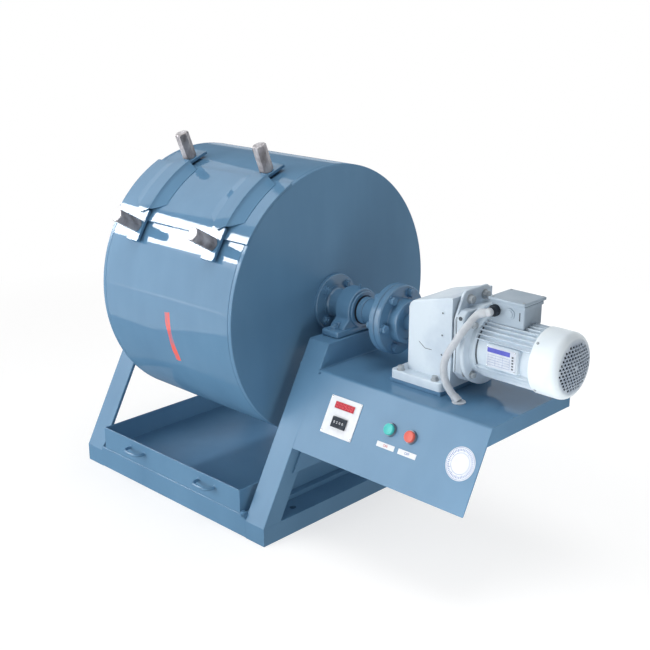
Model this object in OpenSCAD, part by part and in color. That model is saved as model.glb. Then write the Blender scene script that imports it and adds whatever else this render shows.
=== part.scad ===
// Drum abrasion testing machine: a closed steel drum turns on two pedestal
// bearings over a collecting tray, driven by a foot-mounted geared motor.
// X runs along the drum's shaft towards the motor, -Y is the front with the
// tray handles and the control panel, +Z is up. The origin is on the floor
// below the middle of the drum.

/* [Drum] */
// Outside diameter of the drum
drum_od = 736; // [600:2:890]
// Length of the drum over its end plates
drum_len = 533; // [430:1:640]
// Thickness of the shell
shell_t = 12.5; // [8:0.5:16]
// Thickness of each end plate
end_t = 12.5; // [8:0.5:16]
// How far the lifting shelf stands in from the shell
shelf_depth = 89; // [60:1:110]
// Thickness of the lifting shelf
shelf_t = 25; // [16:1:30]
// Angle of the lifting shelf, up from the front
shelf_angle = -110; // [-120:1:-90]

/* [Feed cover] */
// Angle of the middle of the cover, up from the front
cover_angle = 49.8; // [40:0.1:60]
// Half of the angle that the cover spans
cover_half = 15.6; // [14:0.1:18]
// Half of the angle that the feed opening spans
feed_half = 12.5; // [8:0.5:13]
// Length of the feed opening
feed_len = 460; // [300:5:480]
// Thickness of the cover plate
cover_t = 6; // [4:0.5:8]
// Distance from the drum's middle to each clamp bar
clamp_x = 154; // [120:1:170]
// Width of a clamp bar over its wings
clamp_w = 130; // [100:1:156]
// Width of a clamp bar's raised middle and of its ends
clamp_end_w = 48; // [44:1:58]
// Thickness of a clamp bar's ends
clamp_t = 8; // [6:0.5:10]
// Height of a clamp bar's raised middle above the cover
clamp_rise = 15; // [12:0.5:18]
// Angle from the middle of the cover to each stud
stud_half = 18.9; // [18:0.1:24]
// Diameter of the studs
stud_d = 16; // [12:1:20]
// Width across flats of the long nuts
nut_af = 33; // [27:1:42]
// Length of the long nuts
nut_len = 74; // [60:1:90]

/* [Shaft and bearings] */
// Diameter of the stub shafts
shaft_d = 50; // [40:1:60]
// Diameter of the flange bolted to each end of the drum
hub_flange_d = 154; // [130:1:190]
// Thickness of that flange
hub_flange_t = 10; // [8:0.5:14]
// Diameter of the boss and the locking collar
collar_d = 72; // [62:1:86]
// Length of a bearing along the shaft
bearing_len = 58; // [48:1:70]
// Length of a bearing's foot
bearing_foot = 204; // [170:1:245]
// Thickness of a bearing's foot
bearing_foot_t = 18; // [14:1:22]
// Outside diameter of the bearing ring
bearing_od = 112; // [92:1:135]

/* [Base frame] */
// Gap between each end of the drum and the legs
side_gap = 45.5; // [38:0.5:60]
// Depth of the frame from front to back
frame_depth = 754; // [620:2:910]
// Height of the two side beams
beam_h = 50; // [40:1:60]
// Height of the front and back rails
rail_h = 62; // [50:1:75]
// Thickness of the front and back rails
rail_t = 40; // [30:1:60]
// Width of the legs and beams along the shaft
leg_w = 70; // [58:1:84]
// Depth of the legs from front to back
leg_t = 60; // [40:1:70]
// Thickness of the steel angle that the legs are made of
angle_t = 10; // [6:1:14]
// Depth of the bearing seats at the top
seat_depth = 280; // [230:2:340]
// Diameter of the floor anchor holes
anchor_d = 18; // [14:1:22]
// Front-to-back spacing of the floor anchor holes
anchor_pitch = 480; // [400:10:500]

/* [Tray] */
// Gap between each end of the collecting tray and the legs
tray_gap = 19; // [10:0.5:24]
// Height of the tray's walls
tray_h = 65; // [54:1:78]
// Gap between the tray's floor and the tips of the long nuts
nut_gap = 23; // [15:1:60]
// Thickness of the tray's sheet
tray_t = 2; // [1.5:0.5:3]
// Width of each tray handle
handle_w = 74; // [60:1:100]
// Diameter of the handle bar
handle_d = 9; // [6:0.5:12]
// How far the handles stand out
handle_out = 28; // [22:1:40]
// Distance from the middle to the handles, which sit a little to the right
handle_x = 150; // [120:1:200]

/* [Motor platform] */
// Length of the platform past the frame
platform_len = 536; // [500:2:600]
// Depth of the platform behind the shaft
platform_back = 145; // [130:1:170]
// Thickness of the platform's sheet
platform_t = 6; // [4:0.5:8]
// Height of the platform's skirts
skirt_h = 42; // [30:1:60]

/* [Control panel] */
// Height of the panel from its lower edge to the platform
panel_h = 185; // [154:1:222]
// Thickness of the panel's sheet
panel_t = 4; // [3:0.5:5]
// Width of the revolution counter's plate
counter_w = 102; // [84:1:124]
// Height of the revolution counter's plate
counter_h = 97; // [80:1:118]
// Diameter of the push buttons
button_d = 28; // [22:1:32]
// Diameter of the round badge
badge_d = 78; // [66:1:94]

/* [Gearbox and motor] */
// Diameter of the coupling
coupling_d = 180; // [150:1:216]
// Thickness of one coupling flange
coupling_t = 18; // [14:1:22]
// Distance from the frame to the coupling's joint
coupling_out = 104; // [86:1:126]
// Distance from the frame to the gearbox
gearbox_out = 208; // [172:1:250]
// Length of the gearbox casting
gearbox_len = 132; // [110:1:160]
// Width of the gearbox
gearbox_w = 156; // [130:1:188]
// Height of the output shaft above the gearbox's foot
gearbox_h = 110; // [108:1:135]
// Top of the gearbox above the shaft at its output end
gearbox_top = 90; // [76:1:108]
// Top of the adapter flange above the shaft
adapter_top = 132; // [118:1:150]
// Thickness of the packing plate under the gearbox
packing_t = 10; // [6:1:16]
// Diameter of the motor's flange
motor_flange_d = 198; // [170:1:210]
// Diameter of the motor over its fins
motor_d = 154; // [130:1:184]
// Length of the finned body
motor_len = 165; // [140:1:180]
// How far the fan cowl stands out past the fins
cowl_step = 2; // [1:0.5:4]
// Length of the fan cowl
cowl_len = 78; // [64:1:94]
// Width of the terminal box
terminal_w = 72; // [60:1:90]
// Height of the terminal box above the motor's fins
terminal_h = 48; // [40:1:58]

/* [Hidden] */

$fn = 96;
eps = 0.01;
// Gap between curved faces that lie on each other
skin = 0.3;
// Radial clearance of a shaft in its bore
running = 0.05;

drum_r = drum_od / 2;
half_len = drum_len / 2;
shell_len = drum_len - 2 * end_t;
frame_len = drum_len + 2 * (side_gap + leg_w);
half_frame = frame_len / 2;
half_depth = frame_depth / 2;
leg_x = half_frame - leg_w / 2;

cover_r = drum_r + skin;
clamp_r = cover_r + cover_t + skin;
clamp_lift = 0.4;
clamp_shift = 6;
clamp_xs = [clamp_shift - clamp_x, clamp_shift + clamp_x];
wing_t = 4;
nut_r = clamp_r + clamp_lift + clamp_t;
stud_angles = [cover_angle - stud_half, cover_angle + stud_half];

runner_z = rail_h + 0.7;
runner_w = 34;
runner_t = 5;
tray_low_z = runner_z + skin;
tray_len = frame_len - 2 * (leg_w + tray_gap);
tray_depth = frame_depth;
handle_shift = 13;
handle_z = tray_low_z + tray_h / 2 + 8;

// The long nuts swing just clear of the tray, which sets the shaft's height
shaft_z = tray_low_z + tray_t + nut_gap + nut_r + nut_len;
bearing_low = 2;
seat_z = shaft_z - bearing_od / 2 - bearing_low;
platform_z = shaft_z - gearbox_h - packing_t;
panel_low_z = platform_z - panel_h;

// The legs' front plane leans back from the beams to the bearing seats
lean = (half_depth - seat_depth / 2) / (seat_z - beam_h);
lean_angle = atan(lean);
function front_y(z) = -half_depth + lean * (z - beam_h);

platform_x = half_frame + platform_len;
gusset_t = 5;
gusset_inset = 36;
gusset_low_z = panel_low_z - 68;

// Layout of the control panel: distances below the platform's edge
counter_x = half_frame + 119;
counter_drop = 96;
badge_x = platform_x - 50;
badge_drop = 99.5;
button_pitch = 63;
label_pitch = 66;
button_mid = (counter_x + counter_w / 2 + badge_x - badge_d / 2) / 2 - 4.5;
button_drop = 81.5;
start_x = button_mid - button_pitch / 2;
stop_x = button_mid + button_pitch / 2;
label_drop = 122;

coupling_x = half_frame + coupling_out;
gearbox_x = half_frame + gearbox_out;
foot_z = platform_z + packing_t;
foot_t = 22;
foot_len = 158;
foot_w = 216;
foot_start = gearbox_x - 30;
gearbox_end = gearbox_x + gearbox_len;
gearbox_rise = 28;
joint_gap = 5;
adapter_x = gearbox_end + joint_gap;
adapter_lug_t = 8;
adapter_t = 28;
adapter_low = 85;
neck_len = 5;
motor_flange_x = adapter_x + adapter_t + neck_len;
motor_flange_t = 12;
motor_x = motor_flange_x + motor_flange_t;
cowl_x = motor_x + motor_len;
cowl_d = motor_d + 2 * cowl_step;
fin_count = 30;
fin_depth = 9;
terminal_x = motor_x + 30;
terminal_len = 91;
terminal_z = shaft_z + motor_d / 2 + terminal_h;
lid_t = 8;
lid_lip = 5;
lid_eave = 9;

// Shaft steps from the drum outwards
boss_end = leg_x - bearing_len / 2 - 2;
collar_start = leg_x + bearing_len / 2 + 2.5;
collar_len = 18;
gear_shaft_d = 44;
gear_shaft_in = 20;

paint = [0.42, 0.55, 0.66];
light_paint = [0.86, 0.88, 0.90];
steel = [0.60, 0.57, 0.54];

// Turns a child that stands along +Z into one that points out of the drum
module radial(angle, x = 0) {
    translate([x, 0, shaft_z]) rotate([90 - angle, 0, 0]) children();
}

// A cylinder along +X from x0 to x1 on the shaft's line
module along_shaft(x0, x1, d) {
    translate([x0, 0, shaft_z]) rotate([0, 90, 0]) cylinder(d = d, h = x1 - x0);
}

// An outline in Y and Z, drawn out along X
module side_extrude(x0, x1, points) {
    translate([x0, 0, 0]) rotate([90, 0, 90]) linear_extrude(x1 - x0) polygon(points);
}

// A sector of a ring around the shaft's line, between two angles
module ring_sector(x0, x1, r0, r1, a0, a1) {
    translate([x0, 0, shaft_z]) rotate([0, 90, 0]) rotate([0, 0, 270 - a1])
        rotate_extrude(angle = a1 - a0) translate([r0, 0]) square([r1 - r0, x1 - x0]);
}

// Places a child, drawn flat with +Z outwards, on the panel's face:
// x along the machine, drop measured down the slope from the platform's edge
module on_panel(x, drop, out = 0) {
    translate([x, front_y(platform_z), platform_z]) rotate([90 - lean_angle, 0, 0])
        translate([0, -drop, out]) children();
}

// ---- Base frame ----

module base_beam(x) {
    color(paint) difference() {
        translate([x - leg_w / 2, -half_depth, 0]) cube([leg_w, frame_depth, beam_h]);
        for (y = [-anchor_pitch / 2, anchor_pitch / 2])
            translate([x, y, -1]) cylinder(d = anchor_d, h = beam_h + 2);
    }
}

module base_rail(y) {
    color(paint) translate([-half_frame + leg_w, y, 0])
        cube([frame_len - 2 * leg_w, rail_t, rail_h]);
}

module base_beam_left() base_beam(-leg_x);
module base_beam_right() base_beam(leg_x);
module base_rail_front() base_rail(-half_depth);
module base_rail_back() base_rail(half_depth - rail_t);

// A bar that leans back with the legs, between two depths behind their front
module leaning_bar(x0, x1, y0, y1, z0, z1) {
    side_extrude(x0, x1, [
        [front_y(z0) + y0, z0], [front_y(z0) + y1, z0],
        [front_y(z1) + y1, z1], [front_y(z1) + y0, z1]
    ]);
}

// A steel angle with one flange towards the front and the other one outwards
module leg(side) {
    color(paint) flip_x(side) difference() {
        leaning_bar(half_frame - leg_w, half_frame, 0, leg_t, beam_h, platform_z);
        leaning_bar(half_frame - leg_w - 1, half_frame - angle_t, angle_t / cos(lean_angle),
            leg_t + 1, beam_h - 1, platform_z + 1);
    }
}

module leg_left_front() leg(-1);
module leg_left_back() flip_y(-1) leg(-1);
module leg_right_front() leg(1);
module leg_right_back() flip_y(-1) leg(1);

module bearing_seat(x) {
    color(paint) side_extrude(x - leg_w / 2, x + leg_w / 2, [
        [front_y(platform_z), platform_z], [-front_y(platform_z), platform_z],
        [seat_depth / 2, seat_z], [-seat_depth / 2, seat_z]
    ]);
}

module seat_left() bearing_seat(-leg_x);
module seat_right() bearing_seat(leg_x);

module tray_runners() {
    run = frame_depth - 2 * rail_t;
    inner = half_frame - leg_w;
    color(paint) for (s = [-1, 1]) flip_x(s) {
        translate([inner - runner_w, -run / 2, runner_z - runner_t])
            cube([runner_w, run, runner_t]);
        translate([inner - runner_t, -run / 2, runner_z - 40]) cube([runner_t, run, 40]);
    }
}

// Mirrors a child across the middle of the drum when side is -1
module flip_x(side) {
    if (side < 0) mirror([1, 0, 0]) children();
    else children();
}

// Mirrors a child from front to back when side is -1
module flip_y(side) {
    if (side < 0) mirror([0, 1, 0]) children();
    else children();
}

// ---- Motor platform and control panel ----

module motor_platform() {
    y0 = front_y(platform_z);
    low = platform_z - skirt_h;
    color(paint) {
        side_extrude(half_frame, platform_x, [
            [y0, platform_z], [front_y(platform_z - platform_t), platform_z - platform_t],
            [platform_back - platform_t, platform_z - platform_t], [platform_back - platform_t, low],
            [platform_back, low], [platform_back, platform_z]
        ]);
        side_extrude(platform_x - platform_t, platform_x, [
            [front_y(low), low], [y0, platform_z], [platform_back, platform_z], [platform_back, low]
        ]);
    }
}

module control_panel() {
    // The panel's sheet lies in front of the platform's slanted front edge
    back = panel_t / cos(lean_angle);
    color(paint) difference() {
        side_extrude(half_frame, platform_x, [
            [front_y(panel_low_z), panel_low_z], [front_y(panel_low_z) + back, panel_low_z],
            [front_y(platform_z) + back, platform_z], [front_y(platform_z), platform_z]
        ]);
        motor_platform();
    }
}

module panel_gusset() {
    top_z = platform_z - platform_t;
    color(paint) side_extrude(half_frame, half_frame + gusset_t, [
        [front_y(gusset_low_z) + gusset_inset, gusset_low_z], [-150, gusset_low_z],
        [-50, gusset_low_z + 120], [-50, top_z], [front_y(top_z) + gusset_inset, top_z]
    ]);
}

// A plate on the panel's face, centred at x and so far below the platform
module panel_plate(x, drop, size, out = 0) {
    on_panel(x, drop, out) translate([-size[0] / 2, -size[1] / 2, 0]) cube(size);
}

module counter_plate() {
    color("white") panel_plate(counter_x, counter_drop, [counter_w, counter_h, 2]);
}

module counter_display() {
    color("red") panel_plate(counter_x + 1.5, counter_drop - 28, [63, 17, 3], 2);
}

module counter_preset() {
    color("black") panel_plate(counter_x + 1, counter_drop + 14, [44, 27, 6], 2);
}

module label_plates() {
    color("white") for (side = [-1, 1])
        panel_plate(button_mid + side * label_pitch / 2 + 2.5, label_drop, [54, 13, 1]);
}

module badge_disc() {
    color("white") on_panel(badge_x, badge_drop) cylinder(d = badge_d, h = 1);
}

module button_bezel(x) {
    color(steel) on_panel(x, button_drop) difference() {
        cylinder(d = button_d + 6, h = 5);
        translate([0, 0, -1]) cylinder(d = button_d + 2 * skin, h = 7);
    }
}

module button_bezels() {
    button_bezel(start_x);
    button_bezel(stop_x);
}

module push_button(x) {
    on_panel(x, button_drop, 4.5) cylinder(d = button_d, h = 7.5);
}

module start_button() color("green") push_button(start_x);
module stop_button() color("red") push_button(stop_x);

// ---- Bearings ----

module bearing(x) {
    ring_top = bearing_od / 2;
    color(paint) difference() {
        union() {
            translate([x - bearing_len / 2, -bearing_foot / 2, seat_z])
                cube([bearing_len, bearing_foot, bearing_foot_t]);
            translate([x - bearing_len / 2 + 2, -ring_top, seat_z])
                cube([bearing_len - 4, 2 * ring_top, shaft_z - seat_z]);
            along_shaft(x - bearing_len / 2 + 2, x + bearing_len / 2 - 2, bearing_od);
        }
        along_shaft(x - bearing_len, x + bearing_len, shaft_d + 2 * running);
    }
}

module bearing_left() bearing(-leg_x);
module bearing_right() bearing(leg_x);

// ---- Gearbox and motor ----

module gearbox_packing() {
    color(paint) translate([foot_start, -foot_w / 2, platform_z])
        cube([foot_len, foot_w, packing_t]);
}

module gearbox_case() {
    top_z = shaft_z + gearbox_top;
    color(light_paint) difference() {
        union() {
            translate([foot_start, -foot_w / 2, foot_z]) cube([foot_len, foot_w, foot_t]);
            translate([0, gearbox_w / 2, 0]) rotate([90, 0, 0]) linear_extrude(gearbox_w) polygon([
                [gearbox_x, foot_z], [gearbox_end, foot_z],
                [gearbox_end, top_z + gearbox_rise], [gearbox_x, top_z]
            ]);
            along_shaft(gearbox_x - 8, gearbox_x + eps, 110);
        }
        along_shaft(gearbox_x - 10, gearbox_x + gear_shaft_in + 1, gear_shaft_d + 2 * running);
    }
}

module adapter_case() {
    color(light_paint) {
        along_shaft(gearbox_end, adapter_x + eps, 150);
        translate([adapter_x, -gearbox_w / 2, shaft_z - adapter_low])
            cube([adapter_t, gearbox_w, adapter_low + gearbox_top]);
        translate([adapter_x, -gearbox_w / 2, shaft_z])
            cube([adapter_lug_t, gearbox_w, adapter_top]);
        along_shaft(adapter_x + adapter_t - eps, motor_flange_x, 150);
    }
}

module motor_flange() {
    color(light_paint) along_shaft(motor_flange_x, motor_x, motor_flange_d);
}

module motor_body() {
    color(light_paint) {
        along_shaft(motor_x, cowl_x, motor_d - 2 * fin_depth);
        for (i = [0 : fin_count - 1])
            translate([motor_x, 0, shaft_z]) rotate([i * 360 / fin_count, 0, 0])
                translate([0, -1.5, motor_d / 2 - fin_depth - 4]) cube([motor_len, 3, fin_depth + 4]);
    }
}

// A closed cap with a rounded rim and a slightly domed end
module fan_cowl() {
    r = cowl_d / 2;
    round_r = 20;
    dome = 6;
    dome_r = ((r - round_r) * (r - round_r) + dome * dome) / (2 * dome);
    color(light_paint) translate([cowl_x, 0, shaft_z]) rotate([0, 90, 0]) rotate_extrude()
        intersection() {
            union() {
                square([r, cowl_len - dome - round_r]);
                square([r - round_r, cowl_len - dome]);
                translate([r - round_r, cowl_len - dome - round_r]) circle(r = round_r);
                intersection() {
                    translate([0, cowl_len - dome_r]) circle(r = dome_r, $fn = 360);
                    translate([0, cowl_len - dome - 1]) square([r - round_r, dome + 1]);
                }
            }
            square([r + 1, cowl_len + 1]);
        }
}

module terminal_box() {
    z0 = shaft_z + motor_d / 2 - 20;
    color(light_paint) difference() {
        translate([terminal_x, -terminal_w / 2, z0]) cube([terminal_len, terminal_w, terminal_z - z0]);
        along_shaft(motor_x, cowl_x, motor_d + 2 * skin);
    }
}

module terminal_lid() {
    color(light_paint) translate([terminal_x - lid_lip, -terminal_w / 2 - lid_eave, terminal_z])
        cube([terminal_len + 2 * lid_lip, terminal_w + 2 * lid_eave, lid_t]);
}

conduit_d = 18;
gland_x = terminal_x + 12;
gland_z = terminal_z - 24;
gland_y = -terminal_w / 2;
// Where the conduit leaves its elbow, and where it enters the platform's fitting
conduit_start = [gland_x - 21, gland_y - 30, gland_z - 6];
start_dir = [-0.9, -0.35, -0.25];
conduit_end = [gearbox_end + 35, -105, platform_z + 11];
end_dir = [0.8, 0, -0.6];
conduit_points = [
    conduit_start, [784, -73, 632], [779, -87, 618], [770, -102, 597], [755, -110, 568], [740, -113, 542],
    [730, -113, 515], [728, -111, 489], [733, -108, 466], [743, -106, 449], conduit_end
];

// Turns a child that stands along +Z to point along a direction
module towards(dir) {
    rotate([0, acos(dir[2] / norm(dir)), atan2(dir[1], dir[0])]) children();
}

module conduit_glands() {
    color("dimgray") {
        translate([gland_x, gland_y, gland_z]) rotate([90, 0, 0]) {
            cylinder(d = 28, h = 17, $fn = 6);
            cylinder(d = 22, h = 33);
        }
        translate(conduit_start) towards(-start_dir) cylinder(d = 22, h = 22);
        difference() {
            translate(conduit_end) towards(end_dir) cylinder(d = 22, h = 30);
            translate([0, -200, 0]) cube([1000, 200, platform_z + 2]);
        }
        translate([conduit_end[0] + 14, conduit_end[1], platform_z]) cylinder(d = 34, h = 3);
    }
}

function unit(v) = v / norm(v);
function path_dir(p, i, ends) = i == 0 ? unit(ends[0]) : i == len(p) - 1 ? unit(ends[1])
    : unit(p[i + 1] - p[i - 1]);
function spline(a, b, c, d, t) = 0.5 * ((2 * b) + (c - a) * t
    + (2 * a - 5 * b + 4 * c - d) * t * t + (3 * b - a - 3 * c + d) * t * t * t);
function smooth(p, n) = concat([for (i = [0 : len(p) - 2], j = [0 : n - 1])
    spline(p[max(i - 1, 0)], p[i], p[i + 1], p[min(i + 2, len(p) - 1)], j / n)], [p[len(p) - 1]]);

// Sweeps a round section along a path that starts and ends in the given directions
module sweep(p, r, sides, ends) {
    rings = len(p);
    points = [for (i = [0 : rings - 1])
        let (t = path_dir(p, i, ends), u = unit(cross(t, [1, 0.2, 0.1])), v = cross(t, u))
        for (k = [0 : sides - 1])
            p[i] + r * (cos(k * 360 / sides) * u + sin(k * 360 / sides) * v)];
    walls = [for (i = [0 : rings - 2], k = [0 : sides - 1])
        [i * sides + k, i * sides + (k + 1) % sides,
         (i + 1) * sides + (k + 1) % sides, (i + 1) * sides + k]];
    polyhedron(points, concat(walls, [[for (k = [sides - 1 : -1 : 0]) k]],
        [[for (k = [0 : sides - 1]) (rings - 1) * sides + k]]));
}

module motor_conduit() {
    color("lightgray") sweep(smooth(conduit_points, 2), conduit_d / 2, 10,
        [start_dir, end_dir]);
}

// ---- Drum ----

module drum_shell() {
    color(paint) difference() {
        along_shaft(-shell_len / 2, shell_len / 2, drum_od);
        along_shaft(-half_len, half_len, drum_od - 2 * shell_t);
        ring_sector(-feed_len / 2, feed_len / 2, drum_r - 2 * shell_t, drum_r + 5,
            cover_angle - feed_half, cover_angle + feed_half);
    }
}

module drum_end(x0) {
    color(paint) along_shaft(x0, x0 + end_t, drum_od);
}

module drum_end_left() drum_end(-half_len);
module drum_end_right() drum_end(half_len - end_t);

module drum_shelf() {
    inner_r = drum_r - shell_t;
    seat = sqrt(inner_r * inner_r - shelf_t * shelf_t / 4) - skin;
    color(paint) radial(shelf_angle) translate([-shell_len / 2, -shelf_t / 2, seat - shelf_depth])
        cube([shell_len, shelf_t, shelf_depth]);
}

module stub_shaft(side) {
    flip_x(side) {
        along_shaft(half_len, half_len + hub_flange_t, hub_flange_d);
        along_shaft(half_len + hub_flange_t - eps, boss_end, collar_d);
        along_shaft(boss_end - eps, collar_start + eps, shaft_d);
        along_shaft(collar_start, collar_start + collar_len, collar_d);
    }
}

module stub_shaft_left() color(paint) stub_shaft(-1);
module stub_shaft_right() color(paint) stub_shaft(1);

module coupling_drum_half() {
    color(paint) {
        along_shaft(collar_start + collar_len, coupling_x - coupling_t + eps, collar_d - 6);
        along_shaft(coupling_x - coupling_t, coupling_x, coupling_d);
    }
}

module coupling_gear_half() {
    color(paint) {
        along_shaft(coupling_x, coupling_x + coupling_t, coupling_d);
        along_shaft(coupling_x + coupling_t - eps, coupling_x + coupling_t + 28, 112);
        along_shaft(coupling_x + coupling_t, gearbox_x + gear_shaft_in, gear_shaft_d);
    }
}

// ---- Feed cover ----

module cover_plate() {
    color(paint) ring_sector(-half_len, half_len, cover_r, cover_r + cover_t,
        cover_angle - cover_half, cover_angle + cover_half);
}

// How far a bar's flat ends reach from the studs, towards the middle of the
// cover and away from it
clamp_reach = 45;
clamp_tail = 42;
// Where a bar widens, measured from each stud towards the middle of the cover
lower_taper = [52, 76];
upper_taper = [22, 38];

// Cuts both wings of a bar away past its end, up to the taper
module end_cuts(taper, side) {
    outer = clamp_w / 2 + 1;
    for (m = [-1, 1]) flip_x(m) translate([0, 0, drum_r / 2]) linear_extrude(drum_r) polygon([
        [clamp_end_w / 2, -side * (clamp_tail + 1)], [clamp_end_w / 2, side * taper[0]],
        [outer, side * taper[1]], [outer, -side * (clamp_tail + 1)]
    ]);
}

module clamp_bar(x) {
    start = cover_angle - stud_half + 2;
    end = cover_angle + stud_half - 2;
    difference() {
        union() {
            ring_sector(x - clamp_w / 2, x + clamp_w / 2, clamp_r, clamp_r + wing_t, start, end);
            ring_sector(x - clamp_end_w / 2 + 1, x + clamp_end_w / 2 - 1, clamp_r + 1,
                clamp_r + clamp_rise, start + 3, end - 3);
            for (s = [-1, 1]) radial(cover_angle + s * stud_half, x) flip_y(s)
                translate([-clamp_end_w / 2, -clamp_reach, clamp_r + clamp_lift])
                    cube([clamp_end_w, clamp_reach + clamp_tail, clamp_t]);
        }
        radial(stud_angles[0], x) end_cuts(lower_taper, 1);
        radial(stud_angles[1], x) end_cuts(upper_taper, -1);
        for (a = stud_angles) radial(a, x) cylinder(d = stud_d + 2, h = drum_od);
    }
}

module clamp_bars() {
    color(paint) for (x = clamp_xs) clamp_bar(x);
}

module clamp_studs() {
    color(steel) for (x = clamp_xs, a = stud_angles)
        radial(a, x) translate([0, 0, drum_r + skin]) cylinder(d = stud_d, h = nut_r - drum_r - skin);
}

module clamp_nuts() {
    color(steel) for (x = clamp_xs, a = stud_angles)
        radial(a, x) translate([0, 0, nut_r]) cylinder(d = nut_af / cos(30), h = nut_len, $fn = 6);
}

// ---- Tray ----

module tray_pan() {
    color(paint) difference() {
        translate([-tray_len / 2, -tray_depth / 2, tray_low_z])
            cube([tray_len, tray_depth, tray_h]);
        translate([-tray_len / 2 + tray_t, -tray_depth / 2 + tray_t, tray_low_z + tray_t])
            cube([tray_len - 2 * tray_t, tray_depth - 2 * tray_t, tray_h]);
    }
}

module tray_handle(x) {
    y = -tray_depth / 2;
    for (s = [-1, 1]) translate([x + s * (handle_w - handle_d) / 2, y, handle_z])
        rotate([90, 0, 0]) cylinder(d = handle_d, h = handle_out);
    translate([x - handle_w / 2, y - handle_out, handle_z]) rotate([0, 90, 0])
        cylinder(d = handle_d, h = handle_w);
}

module tray_handles() {
    color(steel) for (x = [-handle_x, handle_x]) tray_handle(x + handle_shift);
}

base_beam_left();
base_beam_right();
base_rail_front();
base_rail_back();
leg_left_front();
leg_left_back();
leg_right_front();
leg_right_back();
seat_left();
seat_right();
tray_runners();
motor_platform();
control_panel();
panel_gusset();
counter_plate();
counter_display();
counter_preset();
label_plates();
badge_disc();
button_bezels();
start_button();
stop_button();
bearing_left();
bearing_right();
gearbox_packing();
gearbox_case();
adapter_case();
motor_flange();
motor_body();
fan_cowl();
terminal_box();
terminal_lid();
conduit_glands();
motor_conduit();
drum_shell();
drum_end_left();
drum_end_right();
drum_shelf();
stub_shaft_left();
stub_shaft_right();
coupling_drum_half();
coupling_gear_half();
cover_plate();
clamp_bars();
clamp_studs();
clamp_nuts();
tray_pan();
tray_handles();
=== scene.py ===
import math
from math import cos, pi, radians, sin

import bmesh
import bpy
from mathutils import Matrix, Vector


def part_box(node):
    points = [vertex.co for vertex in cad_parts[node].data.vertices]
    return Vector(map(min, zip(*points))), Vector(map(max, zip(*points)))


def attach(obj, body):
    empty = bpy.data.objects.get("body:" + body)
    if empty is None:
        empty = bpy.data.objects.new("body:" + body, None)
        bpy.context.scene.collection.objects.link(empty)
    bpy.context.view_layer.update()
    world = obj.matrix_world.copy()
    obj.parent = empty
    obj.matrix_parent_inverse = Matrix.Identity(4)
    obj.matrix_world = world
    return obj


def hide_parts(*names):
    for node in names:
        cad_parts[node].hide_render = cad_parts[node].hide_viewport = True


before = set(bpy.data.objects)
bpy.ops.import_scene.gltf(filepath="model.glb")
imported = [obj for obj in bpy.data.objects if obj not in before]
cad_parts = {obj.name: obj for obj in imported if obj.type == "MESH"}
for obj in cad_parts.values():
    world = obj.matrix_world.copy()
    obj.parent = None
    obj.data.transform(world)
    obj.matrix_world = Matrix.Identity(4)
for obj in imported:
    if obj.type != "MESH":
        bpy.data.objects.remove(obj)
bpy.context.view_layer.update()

MM = 0.001


# ---- Places taken from the frame ----

def low(node):
    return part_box(node)[0]


def high(node):
    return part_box(node)[1]


SHAFT_Z = (low("drum_end_right").z + high("drum_end_right").z) / 2
DRUM_R = (high("drum_end_right").z - low("drum_end_right").z) / 2
DRUM_END = high("drum_end_right").x
SHELL_END = high("drum_shell").x
FLOOR_FRONT = low("base_rail_front").y
HALF_FRAME = high("leg_right_front").x
PLATFORM_Z = high("motor_platform").z
PLATFORM_END = high("motor_platform").x
PANEL_TOP_Y = low("seat_right").y
LEAN = (PANEL_TOP_Y - low("leg_right_front").y) / (PLATFORM_Z - low("leg_right_front").z)
LEAN_ANGLE = math.atan(LEAN)
PANEL_UP = Vector((0, sin(LEAN_ANGLE), cos(LEAN_ANGLE)))
PANEL_OUT = Vector((0, -cos(LEAN_ANGLE), sin(LEAN_ANGLE)))
SEAT_Z = high("seat_right").z

# Sizes in metres that the frame's boxes don't give
LEG_WIDE = 70 * MM
LEG_DEEP = 60 * MM
ANGLE_T = 10 * MM
RAIL_T = 40 * MM
DECK_T = 6 * MM
PANEL_T = 4 * MM
DRUM_WALL = 12.5 * MM
RIM_EDGE = 1.2 * MM
FEED_HALF = 230 * MM
COVER_ANGLE = 49.8
FEED_HALF_ANGLE = 12.5
COVER_HALF_ANGLE = 15.6
COVER_T = 6 * MM
STUD_ANGLES = (30.9, 68.7)
CLAMP_XS = (-148 * MM, 160 * MM)
NUT_SEAT = 383 * MM
NUT_FLATS = 33 * MM
NUT_LENGTH = 74 * MM
BAR_HALF = 65 * MM
END_HALF = 24 * MM
GEARBOX_HALF = 78 * MM
HOUSING_R = 56 * MM
COUPLING_R = 90 * MM
COUPLING_T = 18 * MM
CORNERS = ((-1, -1), (-1, 1), (1, -1), (1, 1))


def front_y(z):
    """Where the slanted front plane is at a height."""
    return PANEL_TOP_Y + LEAN * (z - PLATFORM_Z)


def turn_axes(across, up, out, origin):
    """A matrix whose X, Y and Z point along three directions."""
    matrix = Matrix((across, up, out)).transposed().to_4x4()
    matrix.translation = Vector(origin)
    return matrix


def along_shaft(x, y=0, z=SHAFT_Z):
    """Z points along the shaft towards the motor."""
    return turn_axes((0, 1, 0), (0, 0, 1), (1, 0, 0), (x, y, z))


def against_shaft(x, y=0, z=SHAFT_Z):
    """Z points along the shaft away from the motor."""
    return turn_axes((0, -1, 0), (0, 0, 1), (-1, 0, 0), (x, y, z))


def facing_front(x, y, z):
    """X stays, Y points up and Z points to the front."""
    return turn_axes((1, 0, 0), (0, 0, 1), (0, -1, 0), (x, y, z))


def facing_back(x, y, z):
    """Z points to the back, Y up."""
    return turn_axes((-1, 0, 0), (0, 0, 1), (0, 1, 0), (x, y, z))


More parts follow.
